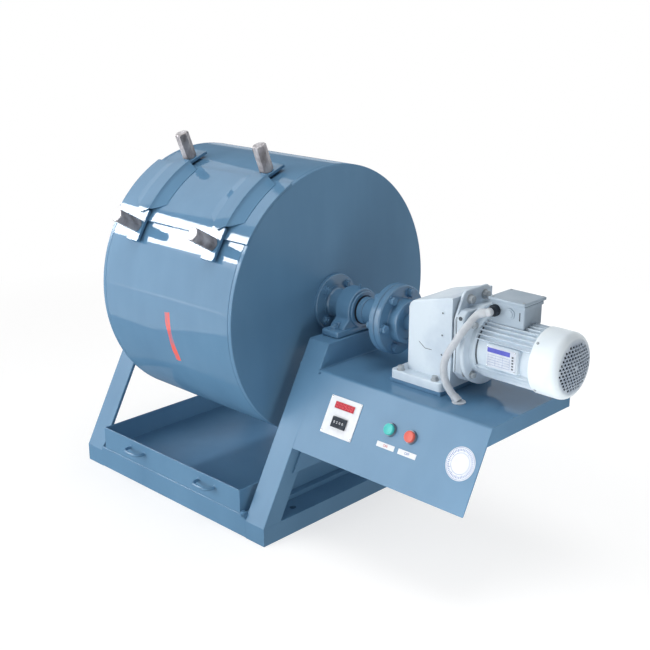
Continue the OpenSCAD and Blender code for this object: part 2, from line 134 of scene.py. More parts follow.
def out_of_drum(angle, x, reach):
    """Z points out of the drum at an angle up from the front, Y along its skin."""
    a = radians(angle)
    out = Vector((0, -cos(a), sin(a)))
    return turn_axes((1, 0, 0), (0, sin(a), cos(a)), out, Vector((x, 0, SHAFT_Z)) + out * reach)


def drum_section(angle):
    """X points out of the drum at an angle up from the front, Z along the shaft."""
    a = radians(angle)
    out = Vector((0, -cos(a), sin(a)))
    along = Vector((1, 0, 0))
    return turn_axes(out, along.cross(out), along, (0, 0, SHAFT_Z))


def on_panel(x, drop, out=0.0):
    """Z points out of the control panel, Y up its slope."""
    edge = Vector((x, PANEL_TOP_Y, PLATFORM_Z))
    return turn_axes((1, 0, 0), PANEL_UP, PANEL_OUT, edge - PANEL_UP * drop + PANEL_OUT * out)


def lifted(x, y, z, turn=0.0):
    """Upright at a place, turned about its Z."""
    return Matrix.Translation((x, y, z)) @ turned(turn)


def turned(angle):
    """Turned about Z, in degrees."""
    return Matrix.Rotation(radians(angle), 4, "Z")


def raised(height):
    """Moved out along Z."""
    return Matrix.Translation((0, 0, height))


def bolt_circle(count, radius, start):
    """The Y and Z of bolts spaced evenly round the shaft's line."""
    for i in range(count):
        a = radians(start + 360 / count * i)
        yield radius * cos(a), SHAFT_Z + radius * sin(a)


def mm(*pairs):
    """Pairs of millimetres, as metres."""
    return [(a * MM, b * MM) for a, b in pairs]


def spot(x, y, z):
    """A place in millimetres, as metres."""
    return (x * MM, y * MM, z * MM)


# ---- Camera and conduit ----

def add_camera():
    place = Vector((2.2117, -2.0506, 1.3937))
    aim = Vector((-0.0004, 0.2415, 0.3617))
    data = bpy.data.cameras.new("camera")
    data.lens = 60.885
    data.sensor_width = 36.0
    camera = bpy.data.objects.new("camera", data)
    camera.location = place
    camera.rotation_euler = (aim - place).to_track_quat("-Z", "Y").to_euler()
    bpy.context.scene.collection.objects.link(camera)
    bpy.context.scene.camera = camera


CONDUIT_D = 18 * MM
CONDUIT_POINTS = [Vector(point) * MM for point in (
    (793, -66, 640), (784, -73, 632), (779, -87, 618), (770, -102, 597), (755, -110, 568), (740, -113, 542),
    (730, -113, 515), (728, -111, 489), (733, -108, 466), (743, -106, 449), (757, -105, 436))]
CONDUIT_EXIT = Vector((-0.9, -0.35, -0.25)).normalized()
CONDUIT_ENTRY = Vector((0.8, 0, -0.6)).normalized()


def spline_point(a, b, c, d, t):
    """A point of the Catmull-Rom curve between b and c."""
    bend = 2 * a - 5 * b + 4 * c - d
    twist = 3 * b - a - 3 * c + d
    return 0.5 * (2 * b + (c - a) * t + bend * t * t + twist * t ** 3)


def smoothed(points, steps):
    last = len(points) - 1
    curve = []
    for i in range(last):
        around = (points[max(i - 1, 0)], points[i], points[i + 1], points[min(i + 2, last)])
        curve += [spline_point(*around, j / steps) for j in range(steps)]
    return curve + [points[last]]


def lay_conduit():
    """The flexible conduit from the terminal box into the platform."""
    route = smoothed(CONDUIT_POINTS, 3)
    hose = new_piece("motor_conduit_hose", round_tube(route, CONDUIT_D / 2, 7), "grey_conduit",
                     finish=CONDUIT_GREY, replaces=("motor_conduit",), sharp=60)


# ---- Finishes ----

def linear(red, green, blue):
    """A colour given as 0 to 255 on a screen, as linear light."""
    def one(value):
        value /= 255
        return value / 12.92 if value <= 0.04045 else ((value + 0.055) / 1.055) ** 2.4
    return (one(red), one(green), one(blue), 1.0)


class Nodes:
    """A node tree being filled, for a material or for the world."""

    def __init__(self, tree):
        self.tree = tree

    def add(self, kind, *sources, **settings):
        """Adds a node, links or sets its first inputs and returns it."""
        node = self.tree.nodes.new(kind)
        for name, value in settings.items():
            setattr(node, name, value)
        for socket, source in zip(node.inputs, sources):
            self.join(source, socket)
        return node

    def join(self, source, socket):
        if isinstance(source, bpy.types.NodeSocket):
            self.tree.links.new(source, socket)
        elif source is not None:
            socket.default_value = source

    def sum(self, operation, *sources):
        return self.add("ShaderNodeMath", *sources, operation=operation).outputs[0]

    def spread(self, source, start, end, low_value, high_value):
        """Maps a value from start..end to low_value..high_value."""
        return self.add("ShaderNodeMapRange", source, start, end, low_value, high_value).outputs[0]

    def seen(self):
        """1 for rays that show the background and 0 for rays that carry light."""
        rays = self.add("ShaderNodeLightPath").outputs
        mirrored = self.sum("MAXIMUM", rays["Is Glossy Ray"], rays["Is Transmission Ray"])
        return self.sum("MAXIMUM", rays["Is Camera Ray"], mirrored)


class Finish(Nodes):
    """A material being built from nodes that read Object coordinates."""

    def __init__(self, name):
        self.material = bpy.data.materials.new(name)
        self.material.use_nodes = True
        super().__init__(self.material.node_tree)
        self.shader = self.tree.nodes["Principled BSDF"]
        self.place = self.add("ShaderNodeTexCoord").outputs["Object"]

    def glow(self, strength):
        return self.add("ShaderNodeEmission", (1, 1, 1, 1), strength).outputs[0]

    def axes(self):
        return self.add("ShaderNodeSeparateXYZ", self.place).outputs

    def noise(self, scale, detail=3.0, stretch=(1, 1, 1), rough=0.55):
        place = self.place
        if stretch != (1, 1, 1):
            mapping = self.add("ShaderNodeMapping", self.place)
            mapping.inputs["Scale"].default_value = stretch
            place = mapping.outputs[0]
        node = self.add("ShaderNodeTexNoise", place)
        node.inputs["Scale"].default_value = scale
        node.inputs["Detail"].default_value = detail
        node.inputs["Roughness"].default_value = rough
        return node.outputs[0]

    def ramp(self, source, stops):
        """Turns a value into a colour by stops of (place, colour)."""
        node = self.add("ShaderNodeValToRGB", source)
        ramp = node.color_ramp
        while len(ramp.elements) < len(stops):
            ramp.elements.new(0.5)
        for element, (place, colour) in zip(ramp.elements, stops):
            element.position = place
            element.color = colour
        return node.outputs[0]

    def blend(self, amount, first, second):
        node = self.tree.nodes.new("ShaderNodeMix")
        node.data_type = "RGBA"
        self.join(amount, node.inputs[0])
        self.join(first, node.inputs[6])
        self.join(second, node.inputs[7])
        return node.outputs[2]

    def bump(self, *layers):
        """Raises the surface by layers of (source, strength, depth in metres)."""
        normal = None
        for source, strength, depth in layers:
            node = self.tree.nodes.new("ShaderNodeBump")
            node.inputs["Strength"].default_value = strength
            node.inputs["Distance"].default_value = depth
            self.join(source, node.inputs["Height"])
            self.join(normal, node.inputs["Normal"])
            normal = node.outputs[0]
        self.join(normal, self.shader.inputs["Normal"])

    def set(self, **values):
        """Sets or links the shader's inputs, with _ for a space in a name."""
        for name, value in values.items():
            self.join(value, self.shader.inputs[name.replace("_", " ")])
        return self


def enamel(name, mark=None, polish=0.12, blur=0.3):
    """Glossy blue-grey machine enamel, sprayed on by hand."""
    finish = Finish(name)
    cloud = finish.noise(2.6, 4)
    runs = finish.noise(11, 3, stretch=(1, 1, 0.22))
    blend = finish.sum("ADD", finish.sum("MULTIPLY", cloud, 0.6), finish.sum("MULTIPLY", runs, 0.4))
    colour = finish.ramp(blend, ((0.3, linear(86, 125, 157)), (0.52, linear(92, 132, 164)),
                                 (0.72, linear(99, 139, 171))))
    if mark:
        colour = finish.blend(mark(finish), colour, linear(232, 96, 82))
    rough = finish.spread(finish.noise(7, 4), 0.3, 0.7, 0.42, 0.56)
    coat = polish(finish) if callable(polish) else polish
    soft = blur(finish) if callable(blur) else blur
    finish.set(Base_Color=colour, Roughness=rough, Specular_IOR_Level=0.0, Coat_IOR=2.5,
               Coat_Weight=coat, Coat_Roughness=soft)
    finish.bump((finish.noise(5, 2), 0.35, 0.0022), (finish.noise(300, 2), 0.12, 0.0004))
    return finish.material


def on_deck_top(finish, skirts, top):
    """One value on the platform's skirts and another on its flat top."""
    return finish.spread(finish.axes()["Z"], PLATFORM_Z - 2 * MM, PLATFORM_Z - 0.5 * MM, skirts, top)


def deck_polish(finish):
    """More gloss on the platform's flat top than on its skirts."""
    return on_deck_top(finish, 0.12, 0.36)


def deck_blur(finish):
    """Sharper reflections in the platform's flat top than in its skirts."""
    return on_deck_top(finish, 0.3, 0.09)


def paint_stroke(finish):
    """A red stroke brushed down the front of the drum."""
    axes = finish.axes()
    ragged = finish.noise(60, 3, stretch=(1, 1, 0.3))
    edge = finish.spread(ragged, 0.3, 0.7, -0.0025, 0.0025)
    drift = finish.spread(axes["Z"], 0.40, 0.545, 0.0035, -0.0035)
    centre = finish.sum("ADD", drift, 0.017)
    off = finish.sum("ABSOLUTE", finish.sum("SUBTRACT", axes["X"], centre))
    across = finish.sum("LESS_THAN", finish.sum("ADD", off, edge), 0.0088)
    above = finish.sum("GREATER_THAN", finish.sum("ADD", axes["Z"], edge), 0.402)
    below = finish.sum("LESS_THAN", finish.sum("ADD", axes["Z"], edge), 0.541)
    front = finish.sum("LESS_THAN", axes["Y"], -0.1)
    tall = finish.sum("MULTIPLY", above, below)
    mask = finish.sum("MULTIPLY", finish.sum("MULTIPLY", across, front), tall)
    thin = finish.spread(finish.noise(45, 3, stretch=(2, 2, 0.4)), 0.3, 0.55, 0.35, 0.95)
    return finish.sum("MULTIPLY", mask, thin)


def cast_paint(name, pale, deep, grain=0.5, mark=None):
    """Satin paint over cast metal."""
    finish = Finish(name)
    cloud = finish.noise(9, 4)
    colour = finish.ramp(cloud, ((0.32, linear(*deep)), (0.6, linear(*pale))))
    if mark:
        colour = finish.blend(mark(finish), colour, linear(158, 172, 190))
    rough = finish.spread(finish.noise(30, 3), 0.3, 0.7, 0.36, 0.52)
    finish.set(Base_Color=colour, Roughness=rough, Specular_IOR_Level=0.22)
    finish.bump((finish.noise(150, 4), grain, 0.0005), (finish.noise(22, 2), 0.2, 0.0012))
    return finish.material


def grille_dust(finish):
    """Dust that the fan draws on to the slotted end of the cowl."""
    end = high("fan_cowl").x
    axes = finish.axes()
    flat = finish.spread(axes["X"], end - 8 * MM, end - 5.4 * MM, 0.0, 1.0)
    patchy = finish.spread(finish.noise(55, 3), 0.3, 0.7, 0.65, 1.0)
    return finish.sum("MULTIPLY", flat, patchy)


def tarnished(name):
    """Turned steel gone dull, with paler rubbed streaks."""
    finish = Finish(name)
    stain = finish.noise(38, 5, stretch=(1, 1, 0.5))
    colour = finish.ramp(stain, ((0.3, linear(96, 92, 92)), (0.5, linear(146, 144, 148)),
                                 (0.72, linear(186, 186, 190))))
    rough = finish.spread(finish.noise(120, 3), 0.3, 0.7, 0.4, 0.62)
    finish.set(Base_Color=colour, Roughness=rough, Metallic=0.35, Specular_IOR_Level=0.3)
    finish.bump((finish.noise(220, 3), 0.35, 0.0004),)
    return finish.material


def steel(name, pale, deep, rough_low, rough_high):
    """Zinc-plated or bare bright steel."""
    finish = Finish(name)
    colour = finish.ramp(finish.noise(45, 4), ((0.35, linear(*deep)), (0.65, linear(*pale))))
    rough = finish.spread(finish.noise(90, 3), 0.3, 0.7, rough_low, rough_high)
    finish.set(Base_Color=colour, Roughness=rough, Metallic=0.95)
    finish.bump((finish.noise(260, 2), 0.12, 0.0003),)
    return finish.material


def moulded(name, pale, deep, roughness, grain=0.15, shine=0.12):
    """Moulded plastic, enamelled plate or printed film."""
    finish = Finish(name)
    colour = finish.ramp(finish.noise(60, 3), ((0.3, linear(*deep)), (0.7, linear(*pale))))
    rough = finish.spread(finish.noise(140, 2), 0.3, 0.7, roughness * 0.85, roughness * 1.15)
    finish.set(Base_Color=colour, Roughness=rough, Specular_IOR_Level=shine)
    finish.bump((finish.noise(480, 2), grain, 0.0003),)
    return finish.material


# ---- Meshes ----

def pour(part, bm, place=None):
    """Adds a finished small mesh to a bigger one, in its place."""
    if place:
        bmesh.ops.transform(part, matrix=place, verts=part.verts)
    mesh = bpy.data.meshes.new("poured")
    part.to_mesh(mesh)
    part.free()
    bm.from_mesh(mesh)
    bpy.data.meshes.remove(mesh)


def bevel(bm, edges, radius, segments):
    bmesh.ops.bevel(bm, geom=edges, offset=radius, offset_type="OFFSET", segments=segments, profile=0.5,
                    affect="EDGES", clamp_overlap=True, material=-1)


def round_edges(bm, verts, radius, segments=2, angle=30.0, keep=None):
    """Rounds the sharp edges between these vertices, or those that keep() picks."""
    edges = {edge for vert in verts for edge in vert.link_edges}
    bevel(bm, [e for e in edges if e.is_manifold and e.calc_face_angle(0) > radians(angle)
               and (not keep or keep(e))], radius, segments)


def slice_at(bm, point, normal, clear=False):
    """Cuts a mesh by a plane, and clears what lies beyond it if asked."""
    bmesh.ops.bisect_plane(bm, geom=bm.verts[:] + bm.edges[:] + bm.faces[:], plane_co=point, plane_no=normal,
                           clear_outer=clear)


def close_rims(bm):
    bmesh.ops.edgeloop_fill(bm, edges=[e for e in bm.edges if e.is_boundary])


def add_block(bm, low_corner, high_corner, radius=0.0, segments=2, place=None):
    """A block between two corners, in the place's own directions."""
    size = Vector(high_corner) - Vector(low_corner)
    middle = (Vector(high_corner) + Vector(low_corner)) / 2
    part = bmesh.new()
    bmesh.ops.create_cube(part, size=1, matrix=Matrix.Translation(middle) @ Matrix.Diagonal((*size, 1)))
    if radius:
        round_edges(part, part.verts, radius, segments)
    pour(part, bm, place)


def add_plate(bm, outline, thickness, place, radius=0.0, segments=2, keep=None):
    """An outline in the place's X and Y, as thick as that along its Z."""
    part = bmesh.new()
    face = part.faces.new([part.verts.new((u, v, 0)) for u, v in outline])
    made = bmesh.ops.extrude_face_region(part, geom=[face])
    far_side = [g for g in made["geom"] if isinstance(g, bmesh.types.BMVert)]
    bmesh.ops.translate(part, vec=(0, 0, thickness), verts=far_side)
    bmesh.ops.transform(part, matrix=place, verts=part.verts)
    bmesh.ops.recalc_face_normals(part, faces=part.faces)
    if radius:
        round_edges(part, part.verts, radius, segments, keep=keep)
    pour(part, bm)


def add_turned(bm, profile, place, steps=64, angle=2 * pi, closed=False):
    """Turns a profile of (height, radius) about the place's Z."""
    part = bmesh.new()
    verts = [part.verts.new((r, 0, h)) for h, r in profile]
    pairs = list(zip(verts, verts[1:]))
    if closed:
        pairs.append((verts[-1], verts[0]))
    edges = [part.edges.new(pair) for pair in pairs]
    full = angle > 1.999 * pi
    bmesh.ops.spin(part, geom=verts + edges, cent=(0, 0, 0), axis=(0, 0, 1), angle=angle, steps=steps,
                   use_merge=full)
    bmesh.ops.remove_doubles(part, verts=part.verts, dist=1e-7)
    pour(part, bm, place)


def add_disc(bm, place, radius, thickness, edge, steps=48):
    """A round disc with a small chamfer on its outer rim."""
    profile = [(0, 0), (0, radius), (thickness - edge, radius),
               (thickness - edge * 0.3, radius - edge * 0.3), (thickness, radius - edge), (thickness, 0)]
    add_turned(bm, profile, place, steps)


def add_ring(bm, place, inner, outer, thickness, edge, steps=64):
    """A flat ring with chamfered front edges."""
    profile = [(0, inner), (0, outer), (thickness - edge, outer), (thickness, outer - edge),
               (thickness, inner + edge), (thickness - edge, inner)]
    add_turned(bm, profile, place, steps, closed=True)


def stamp(bm, mesh, place=None):
    """Adds a copy of a finished mesh."""
    copy = mesh.copy()
    if place:
        copy.transform(place)
    bm.from_mesh(copy)
    bpy.data.meshes.remove(copy)


def to_mesh(bm, name="part"):
    bmesh.ops.remove_doubles(bm, verts=bm.verts, dist=1e-6)
    bmesh.ops.recalc_face_normals(bm, faces=bm.faces)
    mesh = bpy.data.meshes.new(name)
    bm.to_mesh(mesh)
    bm.free()
    return mesh


def evaluated(obj):
    """The object's mesh with its modifiers applied; the object is deleted."""
    bpy.context.view_layer.update()
    graph = bpy.context.evaluated_depsgraph_get()
    mesh = bpy.data.meshes.new_from_object(obj.evaluated_get(graph))
    bpy.data.objects.remove(obj)
    return mesh


def combined(base, tool, operation):
    """One mesh cut by, or kept inside, another."""
    body = bpy.data.objects.new("cut_body", base)
    cutter = bpy.data.objects.new("cutter", tool)
    for obj in (body, cutter):
        bpy.context.scene.collection.objects.link(obj)
    modifier = body.modifiers.new("cut", "BOOLEAN")
    modifier.operation = operation
    modifier.object = cutter
    modifier.solver = "EXACT"
    mesh = evaluated(body)
    bpy.data.objects.remove(cutter)
    return mesh


def meshed(data):
    """A curve or text as a mesh."""
    obj = bpy.data.objects.new(data.name, data)
    bpy.context.scene.collection.objects.link(obj)
    return evaluated(obj)


def round_tube(points, radius, sides):
    """A round bar or hose with closed ends through points, as a mesh."""
    data = bpy.data.curves.new("round_tube", "CURVE")
    data.dimensions = "3D"
    data.bevel_depth = radius
    data.bevel_resolution = sides
    data.use_fill_caps = True
    spline = data.splines.new("POLY")
    spline.points.add(len(points) - 1)
    for point, place in zip(spline.points, points):
        point.co = (*place, 1)
    return meshed(data)


def swept_bar(points, radius, corner, sides=3):
    """A round bar through points, its corners bent on a radius, as a mesh."""
    points = [Vector(point) for point in points]
    route = [points[0]]
    for before, here, after in zip(points, points[1:], points[2:]):
        start = here + (before - here).normalized() * corner
        end = here + (after - here).normalized() * corner
        for step in range(7):
            t = step / 6
            route.append(start * (1 - t) ** 2 + here * 2 * t * (1 - t) + end * t * t)
    return round_tube(route + [points[-1]], radius, sides)


def lettering(words, size, depth):
    """Plain raised characters, centred, as a mesh."""
    data = bpy.data.curves.new("letters", "FONT")
    data.body = words
    data.size = size
    data.extrude = depth
    data.align_x = "CENTER"
    data.align_y = "CENTER"
    return meshed(data)


def add_bead(bm, start, end, radius):
    """A weld bead with its ripples, half sunk into the corner it fills."""
    run = Vector(end) - Vector(start)
    ripples = 2 * max(4, int(run.length / (radius * 1.3)))
    part = bmesh.new()
    ring = bmesh.ops.create_circle(part, cap_ends=True, segments=8, radius=radius * 0.6)["verts"]
    edges = list({e for v in ring for e in v.link_edges})
    for i in range(ripples):
        grown = bmesh.ops.extrude_edge_only(part, edges=edges)["geom"]
        ring = [g for g in grown if isinstance(g, bmesh.types.BMVert)]
        edges = [g for g in grown if isinstance(g, bmesh.types.BMEdge)]
        edges = [e for e in edges if e.verts[0] in ring and e.verts[1] in ring]
        size = 1.5 if i == 0 else (1.18 if i % 2 else 1 / 1.18)
        bmesh.ops.scale(part, vec=(size, size, 1), verts=ring)
        bmesh.ops.translate(part, vec=(0, 0, run.length / ripples), verts=ring)
    bmesh.ops.edgeloop_fill(part, edges=edges)
    turn = run.to_track_quat("Z", "Y").to_matrix().to_4x4()
    pour(part, bm, Matrix.Translation(start) @ turn)


def hex_outline(flats):
    corner = flats / math.sqrt(3)
    return [(corner * cos(radians(60 * i)), corner * sin(radians(60 * i))) for i in range(6)]


def hex_head(flats, height):
    """A hexagon head or nut whose upper corners are chamfered by a cone."""
    corner = flats / math.sqrt(3)
    drop = (corner - flats / 2) * 0.62
    hexagon = bmesh.new()
    add_plate(hexagon, hex_outline(flats), height, Matrix())
    cone = bmesh.new()
    add_turned(cone, [(0, 0), (0, corner * 1.01), (height - drop, corner * 1.01), (height, flats / 2),
                      (height, 0)], Matrix(), 48)
    return combined(to_mesh(hexagon), to_mesh(cone), "INTERSECT")


def bolt_head(flats, height, washer=1.1, washer_t=2.0, tip=0.0):
    """A hexagon bolt head or nut on its washer, with a stud tip if given, in mm."""
    bm = bmesh.new()
    add_disc(bm, Matrix(), flats * washer * MM, washer_t * MM, 0.5 * MM, 32)
    stamp(bm, hex_head(flats * MM, height * MM), raised(washer_t * MM))
    if tip:
        add_disc(bm, Matrix(), flats * 0.31 * MM, (washer_t + height + tip) * MM, 1.0 * MM, 24)
    else:
        add_disc(bm, Matrix(), flats * 0.36 * MM, (washer_t + height + 0.5) * MM, 0.4 * MM, 24)
    return to_mesh(bm, "bolt")


def cap_screw(diameter, height):
    """A round-headed screw with a straight slot, in mm."""
    bm = bmesh.new()
    r = diameter / 2 * MM
    h = height * MM
    add_turned(bm, [(0, 0), (0, r), (h * 0.45, r), (h * 0.8, r * 0.82), (h, r * 0.45), (h, 0)], Matrix(), 24)
    head = to_mesh(bm)
    bm = bmesh.new()
    add_block(bm, (-r * 1.2, -r * 0.13, h * 0.55), (r * 1.2, r * 0.13, h * 1.5))
    return combined(head, to_mesh(bm), "DIFFERENCE")


def new_piece(name, mesh, slot="blue_paint", body="frame", finish=None, replaces=(), sharp=38.0):
    """Shows a mesh, made in place, as a piece that rides on a body."""
    if isinstance(mesh, bmesh.types.BMesh):
        mesh = to_mesh(mesh, name)
    mesh.name = name
    mesh.materials.clear()
    mesh.materials.append(finish or FINISHES[slot])
    mesh.shade_smooth()
    mesh.set_sharp_from_angle(angle=radians(sharp))
    piece = bpy.data.objects.new(name, mesh)
    bpy.context.scene.collection.objects.link(piece)
    even = piece.modifiers.new("even_normals", "WEIGHTED_NORMAL")
    even.keep_sharp = True
    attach(piece, body)
    if replaces:
        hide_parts(*replaces)
    return piece


def cad_copy(node):
    """A frame node's own shape, merged, with its flat faces whole."""
    bm = bmesh.new()
    bm.from_mesh(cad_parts[node].data)
    bmesh.ops.remove_doubles(bm, verts=bm.verts, dist=1e-5)
    bmesh.ops.dissolve_limit(bm, angle_limit=radians(0.6), verts=bm.verts, edges=bm.edges)
    return bm


def rounded_copy(node, name, radius, segments=3, body="frame", keep=None, cuts=()):
    """A frame node with its sharp edges rounded, which stands for it."""
    bm = cad_copy(node)
    for point, normal in cuts:
        slice_at(bm, point, normal)
    round_edges(bm, bm.verts, radius, segments, keep=keep)
    return new_piece(name, bm, body=body, replaces=(node,))


# ---- Base frame ----

def level(edge, z):
    """Whether an edge lies flat at a height."""
    return all(abs(vert.co.z - z) < 0.5 * MM for vert in edge.verts)


def runs_across(edge, least=100 * MM):
    """Whether an edge runs at least that far along X."""
    return abs(edge.verts[0].co.x - edge.verts[1].co.x) > least


def weld_lines(name, lines, radius, body="frame"):
    """Weld beads along lines, as one piece."""
    bm = bmesh.new()
    for start, end in lines:
        add_bead(bm, start, end, radius)
    return new_piece(name, bm, body=body, sharp=60)


def frame_members():
    """Beams, rails, legs and seats with rolled edges; flush welded joints stay unbroken."""
    beam_top = high("base_beam_right").z
    for side in ("left", "right"):
        rounded_copy(f"base_beam_{side}", f"side_beam_{side}", 3 * MM,
                     keep=lambda e: not level(e, 0))
        for end in ("front", "back"):
            joined = side == "right" and end == "front"
            cuts = [((0, 0, low("control_panel").z), (0, 0, 1))] if joined else ()
            rounded_copy(f"leg_{side}_{end}", f"slanted_leg_{side}_{end}", 2 * MM, cuts=cuts,
                         keep=lambda e, j=joined: not level(e, beam_top) and not level(e, PLATFORM_Z)
                         and not (j and meets_panel(e)))
        rounded_copy(f"seat_{side}", f"top_seat_{side}", 3 * MM,
                     keep=lambda e: not level(e, PLATFORM_Z))
    for end in ("front", "back"):
        rounded_copy(f"base_rail_{end}", f"cross_rail_{end}", 2.5 * MM,
                     keep=runs_across)
    rounded_copy("tray_runners", "runner_angles", 1.2 * MM, 2)


def meets_panel(edge):
    """An edge of the leg where the panel's sheet is ground flush to it."""
    panel_low = low("control_panel").z - 0.5 * MM
    return all(v.co.z > panel_low and v.co.x > HALF_FRAME - 1 * MM and v.co.y < front_y(v.co.z) + 1 * MM
               for v in edge.verts)


def frame_welds():
    """Fillet welds where legs, rails and seats meet."""
    beam_top = high("base_beam_right").z
    rail_top = high("base_rail_front").z
    lines = []
    for side, end in CORNERS:
        lines += leg_weld_lines(side, end, -front_y(beam_top), beam_top)
        lines += leg_weld_lines(side, end, -PANEL_TOP_Y, PLATFORM_Z)
        inner = side * (HALF_FRAME - LEG_WIDE)
        lines.append(((inner, end * -(FLOOR_FRONT + 3 * MM), rail_top),
                      (inner, end * (-FLOOR_FRONT - RAIL_T), rail_top)))
    weld_lines("frame_welds", lines, 2.6 * MM)


def leg_weld_lines(side, end, reach, z):
    """The inner corners round one end of an angle leg, at its distance from the middle."""
    inner = side * (HALF_FRAME - LEG_WIDE)
    web = side * (HALF_FRAME - ANGLE_T)
    face = end * (reach - ANGLE_T / cos(LEAN_ANGLE))
    deep = end * (reach - LEG_DEEP)
    return [((inner, face, z), (web, face, z)), ((web, face, z), (web, deep, z)),
            ((inner, end * reach, z), (inner, face, z)), ((web, deep, z), (side * HALF_FRAME, deep, z))]


def front_lug():
    """The small stop lug with its screw at the right end of the front rail."""
    rail = high("base_rail_front")
    bm = bmesh.new()
    x = rail.x - 8 * MM
    add_block(bm, (x - 8 * MM, FLOOR_FRONT - 3 * MM, rail.z - 7 * MM),
              (x + 7 * MM, FLOOR_FRONT + 9 * MM, rail.z + 9 * MM), 1.2 * MM)
    new_piece("tray_stop_lug", bm)
    bm = bmesh.new()
    stamp(bm, bolt_head(8, 4, 0.8, 1), facing_front(x, FLOOR_FRONT - 3 * MM, rail.z + 2 * MM))
    new_piece("tray_stop_screw", bm)


# ---- Motor platform and control panel ----

def folded_deck():
    """The platform and the panel as one folded sheet, with its end skirt."""
    skirt_low = low("motor_platform").z
    back = high("motor_platform").y
    panel_low = low("control_panel").z
    slope = PANEL_T / cos(LEAN_ANGLE)
    inner_top = PLATFORM_Z - DECK_T
    inner_front = front_y(inner_top) + slope
    inner_back = back - DECK_T
    corner = PLATFORM_END - DECK_T - 1 * MM
    past_leg = HALF_FRAME + 1 * MM
    outline = [(front_y(panel_low), panel_low), (PANEL_TOP_Y, PLATFORM_Z), (back, PLATFORM_Z),
               (back, skirt_low), (inner_back, skirt_low), (inner_back, inner_top), (inner_front, inner_top),
               (front_y(panel_low) + slope, panel_low)]
    bm = bmesh.new()
    add_plate(bm, outline, PLATFORM_END - HALF_FRAME, along_shaft(HALF_FRAME, 0, 0))
    bevel(bm, [e for e in bm.edges if level(e, PLATFORM_Z) and runs_across(e)], 5 * MM, 5)
    round_edges(bm, bm.verts, 1 * MM, angle=40,
                keep=lambda e: min(v.co.x for v in e.verts) > past_leg or level(e, panel_low))
    skirt = [(front_y(skirt_low) + slope, skirt_low), (inner_front, inner_top), (inner_back, inner_top),
             (inner_back, skirt_low)]
    add_plate(bm, skirt, DECK_T, along_shaft(corner, 0, 0))
    new_piece("folded_deck", bm, finish=DECK_ENAMEL, replaces=("motor_platform", "control_panel"), sharp=30)
    lines = [((corner, inner_front, inner_top), (corner, inner_back, inner_top)),
             ((past_leg, PANEL_TOP_Y + 4 * MM, PLATFORM_Z), (past_leg, back - 2 * MM, PLATFORM_Z))]
    weld_lines("deck_welds", lines, 2.2 * MM)


def gusset():
    """The small plate between panel and leg, with a weld on its top edge."""
    rounded_copy("panel_gusset", "leg_gusset", 1 * MM, 2)
    box_low, box_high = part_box("panel_gusset")
    bm = bmesh.new()
    add_bead(bm, (box_high.x, box_low.y + 90 * MM, box_high.z), (box_high.x, box_high.y, box_high.z), 2 * MM)
    new_piece("gusset_weld", bm)


def panel_place(node):
    """How far along the panel a fitting is centred, and how far below its top edge."""
    box_low, box_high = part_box(node)
    middle = (box_low + box_high) / 2
    edge = Vector((middle.x, PANEL_TOP_Y, PLATFORM_Z))
    return middle.x, (edge - middle).dot(PANEL_UP)


def round_outline(half_x, half_y, radius, steps, middle=0.0):
    """A rectangle with round corners, as an outline."""
    outline = []
    for cx, cy, start in ((1, 1, 0), (-1, 1, 90), (-1, -1, 180), (1, -1, 270)):
        for step in range(steps + 1):
            a = radians(start + step * 90 / steps)
            outline.append((middle + cx * (half_x - radius) + radius * cos(a),
                            cy * (half_y - radius) + radius * sin(a)))
    return outline


def add_sheet(bm, place, width, height, thickness, radius, edge=0.4):
    """A thin plate with round corners, centred on the place, in mm."""
    outline = round_outline(width / 2 * MM, height / 2 * MM, radius * MM, 4)
    add_plate(bm, outline, thickness * MM, place, edge * MM, 1)


COUNTER_T = 2 * MM
SEGMENTS = {"0": "abcdef", "1": "bc", "2": "abged", "3": "abgcd", "4": "fgbc", "5": "afgcd", "6": "afgedc",
            "7": "abc", "8": "abcdefg", "9": "abcdfg"}
SEGMENT_PLACES = {"a": (0, 1, 1), "b": (1, 0.5, 0), "c": (1, -0.5, 0), "d": (0, -1, 1), "e": (-1, -0.5, 0),
                  "f": (-1, 0.5, 0), "g": (0, 0, 1)}


def add_digits(bm, place, digits, pitch, height):
    """Seven-segment digits in a row, centred on the place."""
    half_w = height * 0.24
    bar = height * 0.085
    for i, digit in enumerate(digits):
        x = (i - (len(digits) - 1) / 2) * pitch
        for name in SEGMENTS[digit]:
            across, up, flat = SEGMENT_PLACES[name]
            size = (half_w - bar, bar) if flat else (bar, height / 4 - bar)
            cx = x + across * half_w
            cy = up * height / 2
            add_block(bm, (cx - size[0], cy - size[1], 0), (cx + size[0], cy + size[1], 0.4 * MM),
                      place=place)


def revolution_counter():
    """The white counter plate with its window, preset wheels and screws."""
    x, drop = panel_place("counter_plate")
    bm = bmesh.new()
    add_sheet(bm, on_panel(x, drop), 102, 97, 2, 2.5)
    new_piece("counter_face", bm, "white_plate", replaces=("counter_plate",))
    bm = bmesh.new()
    for across, up in CORNERS:
        stamp(bm, cap_screw(5.5, 1.6), on_panel(x + across * 46.5 * MM, drop - up * 44 * MM, COUNTER_T))
    new_piece("counter_screws", bm, "bright_steel")
    display_window()
    preset_wheels()


